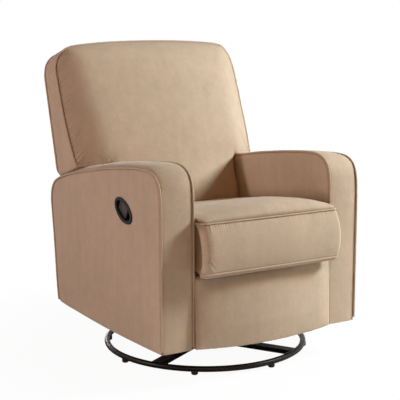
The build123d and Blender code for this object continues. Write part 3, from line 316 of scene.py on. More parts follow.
class Surface(Nodes):
    """A material's node tree with short calls for the nodes used here."""

    def __init__(self, name):
        self.material = bpy.data.materials.new(name)
        super().__init__(self.material)
        self.shader = self.tree.nodes["Principled BSDF"]
        self.place = self.add("ShaderNodeTexCoord").outputs["Object"]

    def noise(self, scale, detail=2.0, rough=0.5, stretch=None, distortion=0.0):
        """Noise through the object; stretch scales its axes."""
        place = self.place
        if stretch:
            place = self.add("ShaderNodeMapping", {"Vector": place, "Scale": stretch}).outputs["Vector"]
        look = {"Scale": scale, "Detail": detail, "Roughness": rough, "Distortion": distortion}
        return self.add("ShaderNodeTexNoise", {"Vector": place, **look}).outputs["Fac"]

    def weighted(self, *terms):
        """Sum of sockets times their weights."""
        total = self.math("MULTIPLY", *terms[0])
        for term in terms[1:]:
            total = self.math("ADD", total, self.math("MULTIPLY", *term))
        return total

    def mix(self, factor, a, b, blend="MIX"):
        inputs = {0: factor, 6: a, 7: b}
        return self.add("ShaderNodeMix", inputs, data_type="RGBA", blend_type=blend).outputs[2]

    def bump(self, height, distance, strength=1.0, under=None):
        """Normal from a height, on top of the normal under it."""
        inputs = {"Height": height, "Strength": strength, "Distance": distance}
        if under is not None:
            inputs["Normal"] = under
        return self.add("ShaderNodeBump", inputs).outputs["Normal"]

    def attribute(self, name, output):
        return self.add("ShaderNodeAttribute", attribute_name=name).outputs[output]

    def edges(self, low, high, most):
        """Up to the most on convex edges and 0 elsewhere."""
        return self.ramp(self.add("ShaderNodeNewGeometry").outputs["Pointiness"], low, high, 0.0, most)

    def finish(self, colour, roughness, normal, **plain):
        """Links the three maps, sets plain values on the shader and gives the material."""
        for key, source in (("Base Color", colour), ("Roughness", roughness), ("Normal", normal)):
            self.tree.links.new(source, self.shader.inputs[key])
        for key, value in plain.items():
            self.shader.inputs[key.replace("_", " ")].default_value = value
        return self.material


def microfibre(name, tone=1.0, sheen=0.2):
    """Short-nap microfibre: brushed patches, fine fibres, a bloom at grazing angles, and painted shade in the
    creases by seams.
    """
    m = Surface(name)
    base = linear(195, 171, 146)
    patches = m.ramp(m.noise(3.1, 4, 0.55, distortion=0.4), 0.3, 0.7)
    brushed = m.ramp(m.noise(34, 3, 0.6, stretch=(1.0, 1.0, 0.09)), 0.3, 0.7)
    mottle = m.ramp(m.noise(26, 4, 0.6), 0.32, 0.68)
    fibre = m.noise(950, 2, 0.6)
    nap = m.noise(230, 3, 0.65, stretch=(1.0, 1.0, 0.35))
    blend = m.weighted((patches, 0.42), (brushed, 0.26), (mottle, 0.32))
    colour = m.mix(blend, tinted(base, 0.83 * tone), tinted(base, 1.10 * tone))
    speck = m.ramp(m.weighted((fibre, 0.5), (nap, 0.5)), 0.35, 0.65, 0.93, 1.05)
    grey = m.add("ShaderNodeCombineColor", {"Red": speck, "Green": speck, "Blue": speck})
    colour = m.mix(1.0, colour, grey.outputs[0], "MULTIPLY")
    # painted shade: the layer darkens the cloth to a deep brown in creases by welts, in recesses and under
    # the seat's lip
    seam = m.math("MULTIPLY", m.attribute("seam", "Fac"), 0.9)
    colour = m.mix(seam, colour, tinted(base, (0.36, 0.2, 0.1)))
    colour = m.mix(m.edges(0.52, 0.6, 0.22), colour, tinted(base, 1.18))
    rough = m.ramp(mottle, 0.0, 1.0, 0.82, 0.95)
    normal = m.bump(nap, 0.0011, 0.35)
    normal = m.bump(fibre, 0.0004, 0.5, normal)
    normal = m.bump(m.noise(17, 3, 0.5), 0.006, 0.16, normal)
    gather = m.add("ShaderNodeSeparateXYZ", {0: m.attribute("gather", "Vector")}).outputs
    along, away = m.math("MULTIPLY", gather[0], 0.135), m.math("MULTIPLY", gather[1], 0.016)
    place = m.add("ShaderNodeCombineXYZ", {0: along, 1: away}).outputs[0]
    folds = m.add("ShaderNodeTexNoise", {"Vector": place, "Scale": 1.0, "Detail": 2.0}).outputs["Fac"]
    normal = m.bump(m.math("MULTIPLY", folds, gather[2]), 0.0085, 1.0, normal)
    return m.finish(colour, rough, normal, Sheen_Weight=sheen, Sheen_Roughness=0.5,
                    Sheen_Tint=(1.0, 0.97, 0.93, 1.0), Specular_IOR_Level=0.22)


def painted_metal(name):
    """Dark bronze powder coat with a faint orange peel and rubbed spots."""
    m = Surface(name)
    rub = m.ramp(m.noise(19, 5, 0.7), 0.52, 0.74)
    colour = m.mix(rub, linear(13, 10, 9), linear(24, 18, 16))
    colour = m.mix(m.edges(0.54, 0.66, 0.6), colour, linear(70, 58, 50))
    rough = m.ramp(m.noise(60, 3, 0.6), 0.3, 0.7, 0.32, 0.48)
    peel = m.bump(m.noise(420, 2, 0.5), 0.0004, 0.35)
    return m.finish(colour, rough, peel, Metallic=0.1, Specular_IOR_Level=0.2,
                    Specular_Tint=(1.0, 0.86, 0.76, 1.0), Coat_Weight=0.02, Coat_Roughness=0.3)


def zinc(name):
    """Zinc-plated sheet steel with fine rolling marks and dull spangle."""
    m = Surface(name)
    spangle = m.add("ShaderNodeTexVoronoi", {"Scale": 140, "Vector": m.place}).outputs["Distance"]
    line = m.noise(300, 2, 0.5, stretch=(1.0, 0.04, 1.0))
    colour = m.mix(m.ramp(spangle, 0.1, 0.8), linear(150, 152, 155), linear(186, 187, 188))
    rough = m.ramp(line, 0.3, 0.7, 0.28, 0.48)
    return m.finish(colour, rough, m.bump(line, 0.0002, 0.3), Metallic=0.95)


def timber(name):
    """Softwood and plywood with grain along its length."""
    m = Surface(name)
    grain = m.noise(26, 6, 0.62, stretch=(0.25, 1.6, 1.6), distortion=1.6)
    pore = m.noise(340, 2, 0.5, stretch=(0.06, 1.0, 1.0))
    colour = m.mix(m.ramp(grain, 0.35, 0.65), linear(196, 158, 110), linear(224, 190, 142))
    colour = m.mix(m.ramp(pore, 0.58, 0.7, 0.0, 0.5), colour, linear(150, 110, 70))
    rough = m.ramp(grain, 0.3, 0.7, 0.6, 0.8)
    return m.finish(colour, rough, m.bump(pore, 0.0004, 0.4))


def webbing(name):
    """Elastic webbing in a plain weave."""
    m = Surface(name)
    warp, weft = (m.add("ShaderNodeTexWave", {"Scale": 90, "Vector": m.place}, bands_direction=way)
                  for way in "XY")
    weave = m.math("MULTIPLY", warp.outputs["Fac"], weft.outputs["Fac"])
    colour = m.mix(weave, linear(64, 58, 54), linear(120, 110, 100))
    rough = m.ramp(m.noise(200, 2), 0.3, 0.7, 0.7, 0.9)
    return m.finish(colour, rough, m.bump(weave, 0.0006, 0.6))


def moulded(name, low, high, rough_low, rough_high, shine):
    """Moulded plastic with a fine spark-eroded grain."""
    m = Surface(name)
    haze = m.noise(40, 4, 0.6)
    colour = m.mix(m.ramp(haze, 0.35, 0.7), low, high)
    rubbed = tuple(c * 2.2 + 0.01 for c in high[:3]) + (1.0,)
    colour = m.mix(m.edges(0.53, 0.62, 0.5), colour, rubbed)
    rough = m.ramp(haze, 0.3, 0.7, rough_low, rough_high)
    return m.finish(colour, rough, m.bump(m.noise(1500, 2, 0.6), 0.00025, 0.4), Specular_IOR_Level=shine)


FABRIC = microfibre("microfibre_nap")
WELT_CLOTH = microfibre("microfibre_piping", tone=0.98, sheen=0.1)
BY_SLOT = {
    "microfibre": FABRIC,
    "base_metal": painted_metal("bronze_powder_coat"),
    "zinc_steel": zinc("zinc_plate"),
    "timber": timber("bare_timber"),
    "webbing": webbing("elastic_webbing"),
    "black_plastic": moulded("black_moulding", linear(7, 6, 7), linear(13, 12, 12), 0.5, 0.62, 0.3),
    "lever_plastic": moulded("lever_moulding", linear(30, 25, 25), linear(44, 38, 36), 0.4, 0.54, 0.5),
}
for row in frame["record"]["subparts"]:
    node = frame["nodes"][row["node"]]
    if not node.material_slots:
        node.data.materials.append(BY_SLOT[row["material_slot"]])
    for place in node.material_slots:
        place.material = BY_SLOT[row["material_slot"]]


# -------- arms
FRONT_EDGE = [(ARM_FRONT, z) for z in (ARM_BOTTOM, 230, 360, 480)]
OUTER_TOP = [
    (-381, 550), (-377, 598), (-366, 631), (-347, 650), (-321, 659.5), (-290, 662), (-245, 661), (-203, 658),
    (-124, 649), (-50, 639), (17, 629), (95, 615), (169, 602), (235, 588), (290, 574), (342, 558), (378, 540),
    (398, 514), (405, 481), (401, 440),
]
INNER_TOP = [
    (-381, 560), (-377, 608), (-366, 641), (-347, 660), (-321, 670.5), (-290, 674), (-245, 672.5),
    (-203, 669), (-124, 661), (-50, 651.5), (17, 642.5), (95, 629), (169, 616.5), (235, 603), (290, 589),
    (342, 572), (380, 553), (401, 526), (407, 488), (402, 440),
]
REAR_EDGE = [
    (393, 385), (386, 325), (379, 255), (371.5, 180), (364, 130), (360.5, 118), (353, ARM_BOTTOM),
]
EDGE_POINTS = 150
TOP_FIRST, TOP_LAST = 62, 128  # points of an edge between which it is an arm's top
FRONT_BEND, REAR_BEND = 545, 1335  # along an edge, where the cloth gathers round a bend
SAG = 8.0  # how far an arm's lower edge bows down in its middle
CUP_Y, CUP_Z, CUP_TILT = -145.0, 519.0, radians(24)
CUP_HALF = (59.5, 35.0)
CUP_HOLE = 5.5  # how far the hole in the cloth lies inside the rim
CUP_SIDES = 72


def cup_reach(y, z):
    """1 on the outer edge of the release cup's rim, and less inside it."""
    along = (y - CUP_Y) * cos(CUP_TILT) + (z - CUP_Z) * sin(CUP_TILT)
    across = (z - CUP_Z) * cos(CUP_TILT) - (y - CUP_Y) * sin(CUP_TILT)
    return np.hypot(along / CUP_HALF[0], across / CUP_HALF[1])


def outward_of(edge):
    """Unit vectors that point away from an arm's edge."""
    along = np.gradient(edge, axis=0)
    along /= np.linalg.norm(along, axis=1, keepdims=True)
    return np.column_stack([np.zeros(len(edge)), -along[:, 1], along[:, 0]])


def arm_band(skin, inner, outer, outward, side):
    """Boxing from an arm's inner edge over to its outer one."""
    shares = eased(25, 0.6)
    w = shares[:, None]
    depth = np.minimum(w, 1 - w) * (HALF - ARM_INNER)
    run = lengths(outer)[None]
    bend = fall(run - FRONT_BEND, 70) + fall(run - REAR_BEND, 60)
    on_top = share(run, 470, 600) * share(run, 1330, 1200)
    stuffing = 2.8 + (3.4 if side > 0 else 8.5) * on_top
    fold = puckers(depth, run, 13.0, 11.0, 4.0 + side)
    slack = 0.8 * wave_noise((run + 55 * w) / 120, 11.0 + side)
    out = stuffing * swell(w, 2.4) - 2.2 * fall(depth, 3.5, 1.5)
    out = out + (0.55 * bend + 0.18) * fold + slack * swell(w, 2)
    band = ruled(inner, outer, shares) + out[:, :, None] * outward[None]
    # painted shade in the creases by the welts
    skin.grid(band, painted_crease_shade(depth), (run, depth, fall(depth, 14, 1) * (0.12 + 0.35 * bend)))


def arm_panel(skin, x, edge, facing, side, with_cup):
    """Side of an arm: facing is 1 for the outer side and -1 for the sitter's."""
    high = edge[TOP_FIRST:TOP_LAST]
    count = len(high)
    bow = SAG if facing > 0 else 0.0
    low = np.column_stack([np.linspace(edge[0, 0], edge[-1, 0], count),
                           ARM_BOTTOM - bow * np.sin(pi * np.linspace(0, 1, count))])
    low = resample(low, count)
    front = edge[:TOP_FIRST + 1]
    rear = resample(edge[TOP_LAST - 1:][::-1], len(front))
    plan = coons(low, high, front, rear)
    depth, along = distance_to(plan, resample(edge, 900))
    above_low = past(plan[:, :, 1] - np.interp(plan[:, :, 0], low[:, 0], low[:, 1]))
    puff = 3.4 * (1 - fall(depth, 24, 1.3)) + 1.2 * fall(depth - 60, 60) - 1.6 * fall(depth, 3.0, 1.5)
    if with_cup and facing > 0:
        puff -= 4.4 * fall(past(cup_reach(plan[:, :, 0], plan[:, :, 1]), 0.95), 0.34, 1.6)
    puff += 0.3 * puckers(depth, along, 17.0, 13.0, 21.0 + side * facing)
    puff += 0.5 * wave_noise(along / 90, 3.0) * fall(depth, 120, 1)
    puff -= 3.6 * fall(above_low, 6, 1.6)
    if facing < 0:
        puff = np.minimum(puff, 2.2)
    panel = np.dstack([x + facing * puff, plan])
    # painted shade in the creases by the welts
    skin.grid(panel, painted_crease_shade(depth), (along, depth, 0.16 * fall(depth, 20, 1)))


def arm_underside(skin, edge):
    """Underside of an arm, which bows down towards its outer edge."""
    along, across = 60, 9
    y = np.linspace(edge[0, 0], edge[-1, 0], along)
    out = np.linspace(0, 1, across)[:, None]
    low = out ** 3 * -SAG * np.sin(pi * np.linspace(0, 1, along))[None]
    x = ARM_INNER + (HALF - ARM_INNER) * out
    skin.grid(np.stack(np.broadcast_arrays(x, y[None], ARM_BOTTOM + low), axis=-1))


def arm(side, with_cup):
    """One upholstered arm: two side panels and a boxing band, welted where they meet."""
    name = "left_arm" if side > 0 else "right_arm"
    outer = resample(smooth_through(FRONT_EDGE + OUTER_TOP + REAR_EDGE), EDGE_POINTS)
    inner = resample(smooth_through(FRONT_EDGE + INNER_TOP + REAR_EDGE), EDGE_POINTS)
    outward = outward_of((inner + outer) / 2)
    outer_line = np.column_stack([np.full(EDGE_POINTS, HALF), outer])
    inner_line = np.column_stack([np.full(EDGE_POINTS, ARM_INNER), inner])
    skin = Skin()
    arm_band(skin, inner_line, outer_line, outward, side)
    arm_panel(skin, HALF, outer, 1, side, with_cup)
    arm_panel(skin, ARM_INNER, inner, -1, side, with_cup)
    arm_underside(skin, outer)
    skin.verts = (np.array(skin.verts) * (side, 1, 1)).tolist()
    cover = skin.build(f"{name}_upholstery", weld=1.2)
    if with_cup:
        cut_cup_hole(cover, side)
    dress(cover, "carriage", 0.9, f"{name}_cover")
    for label, line, aside, lift in (("outer", outer_line, 0.4, 1.9), ("inner", inner_line, -0.4, 1.6)):
        line = (line + (aside, 0, 0) + lift * outward) * (side, 1, 1)
        piping(f"{name}_{label}_welt", line[1:-1], PIPING, 4.5, "carriage")


def cut_cup_hole(cover, side):
    """Opens an arm's outer panel for the release cup."""
    around = 2 * pi * np.arange(CUP_SIDES) / CUP_SIDES
    along, across = ((half - CUP_HOLE) * wave(around) for half, wave in zip(CUP_HALF, (np.cos, np.sin)))
    y = CUP_Y + along * cos(CUP_TILT) - across * sin(CUP_TILT)
    z = CUP_Z + along * sin(CUP_TILT) + across * cos(CUP_TILT)
    verts = [(side * x, *place) for x in (HALF - 30, HALF + 20) for place in zip(y, z)]
    near = list(range(CUP_SIDES))
    far = [k + CUP_SIDES for k in near]
    sides = [(k, (k + 1) % CUP_SIDES, (k + 1) % CUP_SIDES + CUP_SIDES, k + CUP_SIDES) for k in near]
    cutter = add_piece("cup_cutter", verts, sides + [near[::-1], far], FABRIC)
    cut = cover.modifiers.new("cup", "BOOLEAN")
    cut.operation = "DIFFERENCE"
    cut.solver = "EXACT"
    cut.object = cutter
    apply_modifiers(cover)
    mesh = cutter.data
    bpy.data.objects.remove(cutter)
    bpy.data.meshes.remove(mesh)


def apply_modifiers(obj):
    """Makes an object's mesh what its modifiers show now."""
    graph = bpy.context.evaluated_depsgraph_get()
    shown = obj.evaluated_get(graph)
    done = bpy.data.meshes.new_from_object(shown, preserve_all_data_layers=True, depsgraph=graph)
    old = obj.data
    obj.modifiers.clear()
    obj.data = done
    for polygon in done.polygons:
        polygon.use_smooth = True
    bpy.data.meshes.remove(old)


# -------- seat cushion
SEAT_ACROSS, SEAT_ALONG, SEAT_UP = 84, 96, 40  # points each way
SEAT_HALF = 252.0  # half width between the arms
NOSE_OUT = 7.0  # how much further the top goes in front of the arms
LOWER_HALF = 256.0  # half width of the front at its lower welt
FACE_LOW, FACE_TOP = 355.0, 507.0
FACE_TALL = FACE_TOP - FACE_LOW
FACE_END = -416.0  # ends of the front face at its lower welt
FACE_RISE = 22.0  # how far they have gone back at the upper welt
LIP = (0, 9.0, -12.5)  # from the lower welt to the hem on the underside
LIP_NARROWER = 0.985
UNDER_HALF = 0.95 * SEAT_HALF
UNDER_FRONT = -407.0
REAR_TOP = 469.0
REAR_HOLLOW = 39.0  # how far the rear is hollowed for the back cushion
SEAT_SIDE_TOP = [(-424, 507), (-419, 511), (-409, 516), (-385, 520), (-343, 521), (-290, 519), (-235, 515),
                 (-150, 506), (-61, 494), (30, 482), (117, 469)]
SEAT_CROWN = ((-300, -235, -150, -61, 60), (30, 26, 18, 12, 5))  # place along Y and height


def wrapped_line(half, front_y, end_y, z, left_wide, right_wide):
    """Line across the seat's front that turns its two corners and runs back along the sides."""
    turn = np.linspace(0, pi / 2, 40)
    y = front_y + (end_y - front_y) * (1 - np.cos(turn))
    left = np.column_stack([left_wide - half - left_wide * np.sin(turn), y])
    right = np.column_stack([half - right_wide + right_wide * np.sin(turn), y])
    across = np.linspace(left_wide - half, half - right_wide, 60)[1:-1]
    belly = swell(share(across, across[0], across[-1]), 2) ** 2
    path = np.vstack([left[::-1], np.column_stack([across, front_y - 1.5 * belly]), right])
    end = lengths(path)[-1]
    at = np.concatenate([np.linspace(0, 54, 18, endpoint=False), np.linspace(54, end - 40, SEAT_ACROSS - 30),
                         np.linspace(end - 40, end, 13)[1:]])
    return np.column_stack([resample(path, SEAT_ACROSS, at / end), np.full(SEAT_ACROSS, z)])


def seat_rear(x, z):
    """Line across the rear at a height, hollow in its middle."""
    y = SEAT_REAR - REAR_HOLLOW * (1 - (x / 250) ** 2)
    return np.column_stack([x, y, np.broadcast_to(z, x.shape)])


def underside_height(y, first, last):
    """Height of the underside, which rises behind its front hem from the first place to the last."""
    return np.interp(y, [first, last], [FACE_LOW + LIP[2], SEAT_BOTTOM])


def seat_top(skin, front, rear, left, right):
    """Crowned top panel behind the upper welt."""
    top = coons(front, rear, left, right)
    x, y = top[:, :, 0], top[:, :, 1]
    behind = past(y, front[None, :, 1])
    u = ((front[:, 0] + SEAT_HALF + NOSE_OUT) / (2 * (SEAT_HALF + NOSE_OUT)))[None]
    full = swell(u, 2.1) * (1 - fall(behind, 26, 1.15))
    patch = 0.45 + 0.9 * fall(x - 135, 70) + 0.8 * fall(x + 225, 35)
    drift = 1.1 * wave_noise(x / 85 + 0.4 * wave_noise(y / 60, 2), 8)
    top[:, :, 2] += (np.interp(y, *SEAT_CROWN) + drift) * full
    top[:, :, 2] += patch * puckers(behind, x + 250, 11.0, 17.0, 31.0)
    top[:, :, 2] -= 3.5 * fall(x, 150) * fall(y + 170, 120) + 1.6 * fall(behind, 3.2, 1.5)
    # painted shade by the upper welt and the top's side edges
    seam = painted_crease_shade(np.minimum(behind, np.minimum(u, 1 - u) * 500))
    strength = fall(behind, 24, 1) * (0.1 + 0.3 * fall(x - 130, 90) + 0.6 * fall(x + 250, 50))
    skin.grid(top, seam, (1.5 * (x + 250), y - front[None, :, 1], strength))


def pleat(face, offset, tall):
    """Pleat that runs down to the lower welt's end at the front's lower left corner."""
    x, z = face[:, :, 0], face[:, :, 2]
    across = (x + 247) * 0.78 + (z - FACE_LOW) * 0.62 - 24 - offset
    near = fall(x + 240, 22) * fall(z - 378, 24)
    face[:, :, 1] -= tall * near * (fall(across, 3.4) - 0.8 * fall(across - 5.5, 3.0))


def seat_face(skin, lower, upper, left, right, bow):
    """Full front panel from the lower welt to the upper one."""
    face = coons(lower, upper, left, right)
    x, z = face[:, :, 0], face[:, :, 2]
    v = eased(SEAT_UP, 0.5)[:, None]
    run = lengths(upper)
    end_gap = np.minimum(run, run[-1] - run)[None]
    top_gap, low_gap = (1 - v) * FACE_TALL, v * FACE_TALL
    strong = 0.5 + 0.8 * fall(x + 215, 40) + 0.3 * fall(x - 90, 90)
    face[:, :, 1] -= 2.0 * bow * share(end_gap, 0, 60)
    face[:, :, 1] -= 0.9 * strong * puckers(top_gap, x + 250, 12.0, 15.0, 41.0)
    face[:, :, 1] -= 0.35 * puckers(low_gap, x + 250, 15.0, 9.0, 43.0)
    face[:, :, 1] -= 1.3 * puckers(end_gap, z, 9.0, 26.0, 47.0) * bow
    pleat(face, 0.0, 2.6)
    pleat(face, 11.0, 1.7)
    welt_gap = np.minimum(top_gap, low_gap)
    face[:, :, 1] += fall(welt_gap, 3.2, 1.5)
    at_end = fall(end_gap, 26, 1) * (0.25 + 0.5 * (x < 0))
    under_welt = fall(top_gap, 18, 1) * (0.25 + 0.5 * fall(x + 215, 60))
    gather = (np.where(at_end > under_welt, z, x), end_gap, np.maximum(at_end, under_welt))
    # painted shade by both welts and at the face's ends
    skin.grid(face, 0.55 * painted_crease_shade(np.minimum(welt_gap, end_gap * 2)), gather)


def seat_lip(skin, lower, hem):
    """Lip under the lower welt, turned in to the underside, with painted shade all over it."""
    v = np.linspace(0, 1, 9)
    lip = ruled(lower, hem, v)
    lip[:, :, 1:] -= (np.sin(pi * v)[:, None] * (0.6, 2.2))[:, None]
    # painted shade: all of the lip at least 0.34, darker by the lower welt
    skin.grid(lip, np.maximum(painted_crease_shade(v[:, None] * 22), 0.34))


def seat_side(skin, side, upper, lower, rim):
    """Side boxing from its front rim to the rear, hollow where an arm stands beside it."""
    count = len(rim)
    rear = np.column_stack([np.full(count, side * SEAT_HALF), np.full(count, SEAT_REAR),
                            np.linspace(SEAT_BOTTOM, REAR_TOP, count)])
    rear[0, 0] = side * UNDER_HALF
    grid = coons(lower, upper, rim, rear)
    v = np.linspace(0, 1, count)[:, None]
    y = grid[:, :, 1]
    gap = y - rim[:, 1][:, None]
    hollow = smooth_step(share(gap, 0, 26)) * (1 - 0.7 * share(y, -330, -170))
    widest = SEAT_HALF + 2 * NOSE_OUT * share(y, -384, -396)
    grid[:, :, 0] = side * (np.minimum(np.abs(grid[:, :, 0]), widest) - 8.0 * swell(v, 3) * hollow)
    # painted shade on the side, darkest by its front rim
    skin.grid(grid, 0.8 * painted_crease_shade(gap), (v * 160, gap, 0.35 * fall(gap, 40, 1)))


def seat_cushion():
    """Box cushion with a welt above and below its front."""
    spread = np.concatenate([np.linspace(0, 0.16, 28, endpoint=False), np.linspace(0.16, 1, SEAT_ALONG - 28)])
    profile = resample(smooth_through(SEAT_SIDE_TOP), SEAT_ALONG, spread)
    profile[:, 0] += 30.0 * share(profile[:, 0], -340, -424) ** 2
    half = SEAT_HALF + NOSE_OUT * share(profile[:, 0], -383, -393)
    sides = {s: np.column_stack([s * half, profile]) for s in (-1, 1)}

    upper = wrapped_line(SEAT_HALF + NOSE_OUT, -424.0, -394.0, FACE_TOP, 34.0, 15.0)
    lower = wrapped_line(LOWER_HALF, -440.0, FACE_END, FACE_LOW, 12.0, 12.0)
    hem = (lower + LIP) * (LIP_NARROWER, 1, 1)
    rear_x = np.interp(np.arange(SEAT_ACROSS), [0, 16, SEAT_ACROSS - 17, SEAT_ACROSS - 1],
                       [-SEAT_HALF, -225, 225, SEAT_HALF])
    rear = seat_rear(rear_x, REAR_TOP + 6 * (1 - (rear_x / 250) ** 2))

    v = eased(SEAT_UP, 0.5)
    bow = swell(v, 2.2)
    end_x = LOWER_HALF + 3 * v
    end_y = FACE_END + FACE_RISE * v - 14 * bow
    end_z = FACE_LOW + FACE_TALL * v
    face_ends = {-1: np.column_stack([4 * bow - end_x, end_y, end_z]),
                 1: np.column_stack([end_x + 8 * bow, end_y, end_z])}

    skin = Skin()
    seat_top(skin, upper, rear, sides[-1], sides[1])
    seat_face(skin, lower, upper, face_ends[-1], face_ends[1], bow[:, None])
    seat_lip(skin, lower, hem)
    bottom_y = UNDER_FRONT + (SEAT_REAR - UNDER_FRONT) * spread
    bottom_z = underside_height(bottom_y, UNDER_FRONT, UNDER_FRONT + 16)
    bottom = {s: np.column_stack([np.full(SEAT_ALONG, s * UNDER_HALF), bottom_y, bottom_z]) for s in (-1, 1)}
    for s, corner in ((-1, hem[0]), (1, hem[-1])):
        edge = bottom[s].copy()
        edge[0, :2] = corner[:2]
        seat_side(skin, s, sides[s], edge, np.vstack([corner[None], face_ends[s]]))
    rear_low = seat_rear(rear_x, SEAT_BOTTOM)
    rear_low[[0, -1], 0] = -UNDER_HALF, UNDER_HALF
    skin.grid(ruled(rear_low, rear, np.linspace(0, 1, SEAT_UP + 1)))
    under = coons(hem, rear_low, bottom[-1], bottom[1])
    under[:, :, 2] = underside_height(under[:, :, 1], -431, -389)
    skin.grid(under)
    dress(skin.build("seat_cushion_upholstery", weld=1.5), "seat", 0.8, "seat_cushion")
    piping("seat_upper_welt", upper + (0, -1.2, 0.8), SEAT_PIPING, 4.0, "seat")
    piping("seat_lower_welt", lower + (0, -1.4, 0.2), SEAT_PIPING, 4.0, "seat")


# -------- back
BACK_FOOT, BACK_TOP = 28.0, 692.0  # lower edge and the top's middle, up the back's plane
BACK_OUT = 370.0  # half width the face is shaped to
FOOT_OUT = 247.0  # and the same at its foot, between the arms
WING = 245  # above this the wings reach out over the arms
BACK_SIDE = [  # half width against height, from the lower corner up round the wing and the top corner
    (FOOT_OUT, 28), (248.5, 80), (248.5, 140), (248, 200), (249, 232), (255, 246), (272, 250), (300, 251),
    (330, 251), (352, 251.5), (364, 254.5), (369.5, 263), (370.5, 280), (370.5, 320), (370.5, 380),
    (370.5, 460), (370.5, 540), (370.5, 590), (368.5, 610), (361, 636), (348, 655), (330, 667.5), (308, 675),
]
# up the back's plane: how far the face stands out at its side and in its middle
CROWN_LOW = [(28, 52, 92), (100, 70, 116), (170, 70, 113), (254, 63, 102)]
CROWN_HIGH = [
    (234, 27, 106), (330, 20, 100), (420, 11, 91), (500, 7, 81), (580, 2, 68), (640, -4, 52), (675, -8, 32),
    (690, -9, 16), (698, -9.5, 8), (708, -10, 4),
]
REAR_LINE = [(28, -122), (286, -108), (606, -91), (640, -88), (672, -76), (690, -60), (698, -46)]
STRIP = [(300, 94, 0.13), (364, 92, 0.13), (476, 84, 0.14), (588, 76, 0.10), (690, 56, 0.07)]
STRIP_SOFT = 13.0  # how softly the steep strip beside an edge begins
NARROWER = [(240, 0), (262, 13), (330, 8), (400, 5), (500, 4.5), (600, 6), (650, 8), (700, 8)]


def in_back(x, s, u):
    """Place in the chair of a point of the back: s up its plane, u forward out of it."""
    y = BACK_Y + s * sin(RECLINE) - u * cos(RECLINE)
    z = BACK_Z + s * cos(RECLINE) + u * sin(RECLINE)
    return np.stack(np.broadcast_arrays(x, y, z), axis=-1)


def table(rows, s, column=1):
    """A column of a table at heights between its rows, with straight lines between them."""
    rows = np.array(rows, float)
    return np.interp(s, rows[:, 0], rows[:, column])


def smooth_table(rows, s, column):
    """As table does, with a smooth curve through the rows."""
    line = smooth_through([(row[0], row[column]) for row in rows], per=12)
    return np.interp(s, line[:, 0], line[:, 1])


def side_roll(x, s, drop):
    """Fall of the face from its middle: gentle at first, then steep over a strip beside each edge."""
    wide, gentle = table(STRIP, s), table(STRIP, s, 2)
    start = BACK_OUT - wide
    over, at_edge = (np.logaddexp(0, gap / STRIP_SOFT) * STRIP_SOFT for gap in (np.abs(x) - start, wide))
    steep = (drop - gentle * BACK_OUT ** 2 / (2 * start)) / at_edge
    return gentle * x ** 2 / (2 * start) + steep * over


def front_of_back(x, s):
    """How far the face stands out at a place on it."""
    (low_side, low), (high_side, high) = (
        [smooth_table(rows, s, column) for column in (1, 2)] for rows in (CROWN_LOW, CROWN_HIGH))
    low = low - (low - low_side) * (x / FOOT_OUT) ** 2
    high = high - side_roll(x, s, high - high_side)
    mix = smooth_step(share(s, 150, 300))
    return (1 - mix) * low + mix * high


def narrowed(x, s):
    """Place across the face, which is a little narrower than the rear."""
    return x - np.sign(x) * share(np.abs(x), 200, 350) * table(NARROWER, s)


def front_drop(x, s):
    """How much lower a wing's underside comes at the front to rest on the arm."""
    return 9.0 * fall(np.abs(x) - 302, 44, 4) * fall(past(s, 248), 24) * (s > 240)


def wing_drop(x, s):
    """How much lower a wing's underside lies at the rear than at the front."""
    return 10.0 * share(np.abs(x), 285, 360) ** 1.5 * fall(past(s, 252), 26) * (s > WING)


def tucked(s):
    """Share of a seam's painted crease shade that shows: little where a wing rests on an arm."""
    return 1 - 0.7 * fall(past(s, 254), 14)


def back_plan():
    """Places x and s of the grid of the face."""
    side = smooth_through(BACK_SIDE, per=16)
    run = lengths(side)
    corner = run[int(np.argmin(np.abs(side[:, 1] - 252.5) + np.abs(side[:, 0] - 300) * 0.2))]
    places = np.concatenate([np.linspace(0, corner - 75, 30, endpoint=False),
                             np.linspace(corner - 75, corner + 95, 44, endpoint=False),
                             np.linspace(corner + 95, run[-1], 62)])
    edge = resample(side, len(places), places / run[-1])
    t = np.linspace(0, 1, len(edge))
    middle = np.interp(t, [0, 0.215, 0.385, 0.55, 1.0], [BACK_FOOT, 212, 300, 350, BACK_TOP])
    middle = smooth_through(np.column_stack([t, middle])[::9], per=9)
    middle = np.interp(t, middle[:, 0], middle[:, 1])
    middle[-1] = BACK_TOP
    across = 2 * eased(91, 0.4)[None] - 1
    arched = share(t, 0.75, 1)[:, None]
    weight = (1 - arched) * across ** 4 + arched * np.abs(across) ** 2.3
    s = middle[:, None] + (edge[:, 1] - middle)[:, None] * weight
    return edge[:, :1] * across, s


def back_face(skin, x, s, depth, from_foot):
    """Crowned face of the back; gives how far each place of it stands out."""
    corner_x = np.abs(x)
    side_edge = fall(BACK_OUT - corner_x, 55) * (s > 262)
    wing = fall(corner_x - 335, 60) * fall(s - 262, 30)
    top_corner = fall(corner_x - 345, 50) * fall(s - 655, 50)
    fold = puckers(depth, from_foot - 0.85 * depth, 12.0, 26.0, 61.0)
    drift = 1.6 * wave_noise(x / 140 + 0.6 * wave_noise(s / 110, 3), 13)
    drift += 1.2 * wave_noise(s / 95 + 0.5 * wave_noise(x / 120, 5), 17)
    u = front_of_back(x, s) - 9.0 * fall(depth, 11.0, 1.25) + drift * (1 - fall(depth, 60, 1))
    u += fold * (0.4 + 1.8 * wing + 1.2 * top_corner + 0.7 * side_edge) + 2.0 * wing * fall(depth, 30, 1)
    strength = fall(depth, 34, 1) * (0.16 + 0.8 * side_edge + 0.2 * wing + 0.6 * top_corner)
    lowered = s - 0.4 * wing_drop(x, s) - front_drop(x, s)
    # painted shade by the edges, weaker where a wing rests on an arm
    skin.grid(in_back(narrowed(x, s), lowered, u), painted_crease_shade(depth) * tucked(s),
              (from_foot - 0.9 * depth, depth, strength))
    return u


def around_face(grid):
    """Values of a grid up its left side, along its top and down its right side."""
    return np.concatenate([grid[:, 0], grid[-1][1:-1], grid[::-1, -1]])


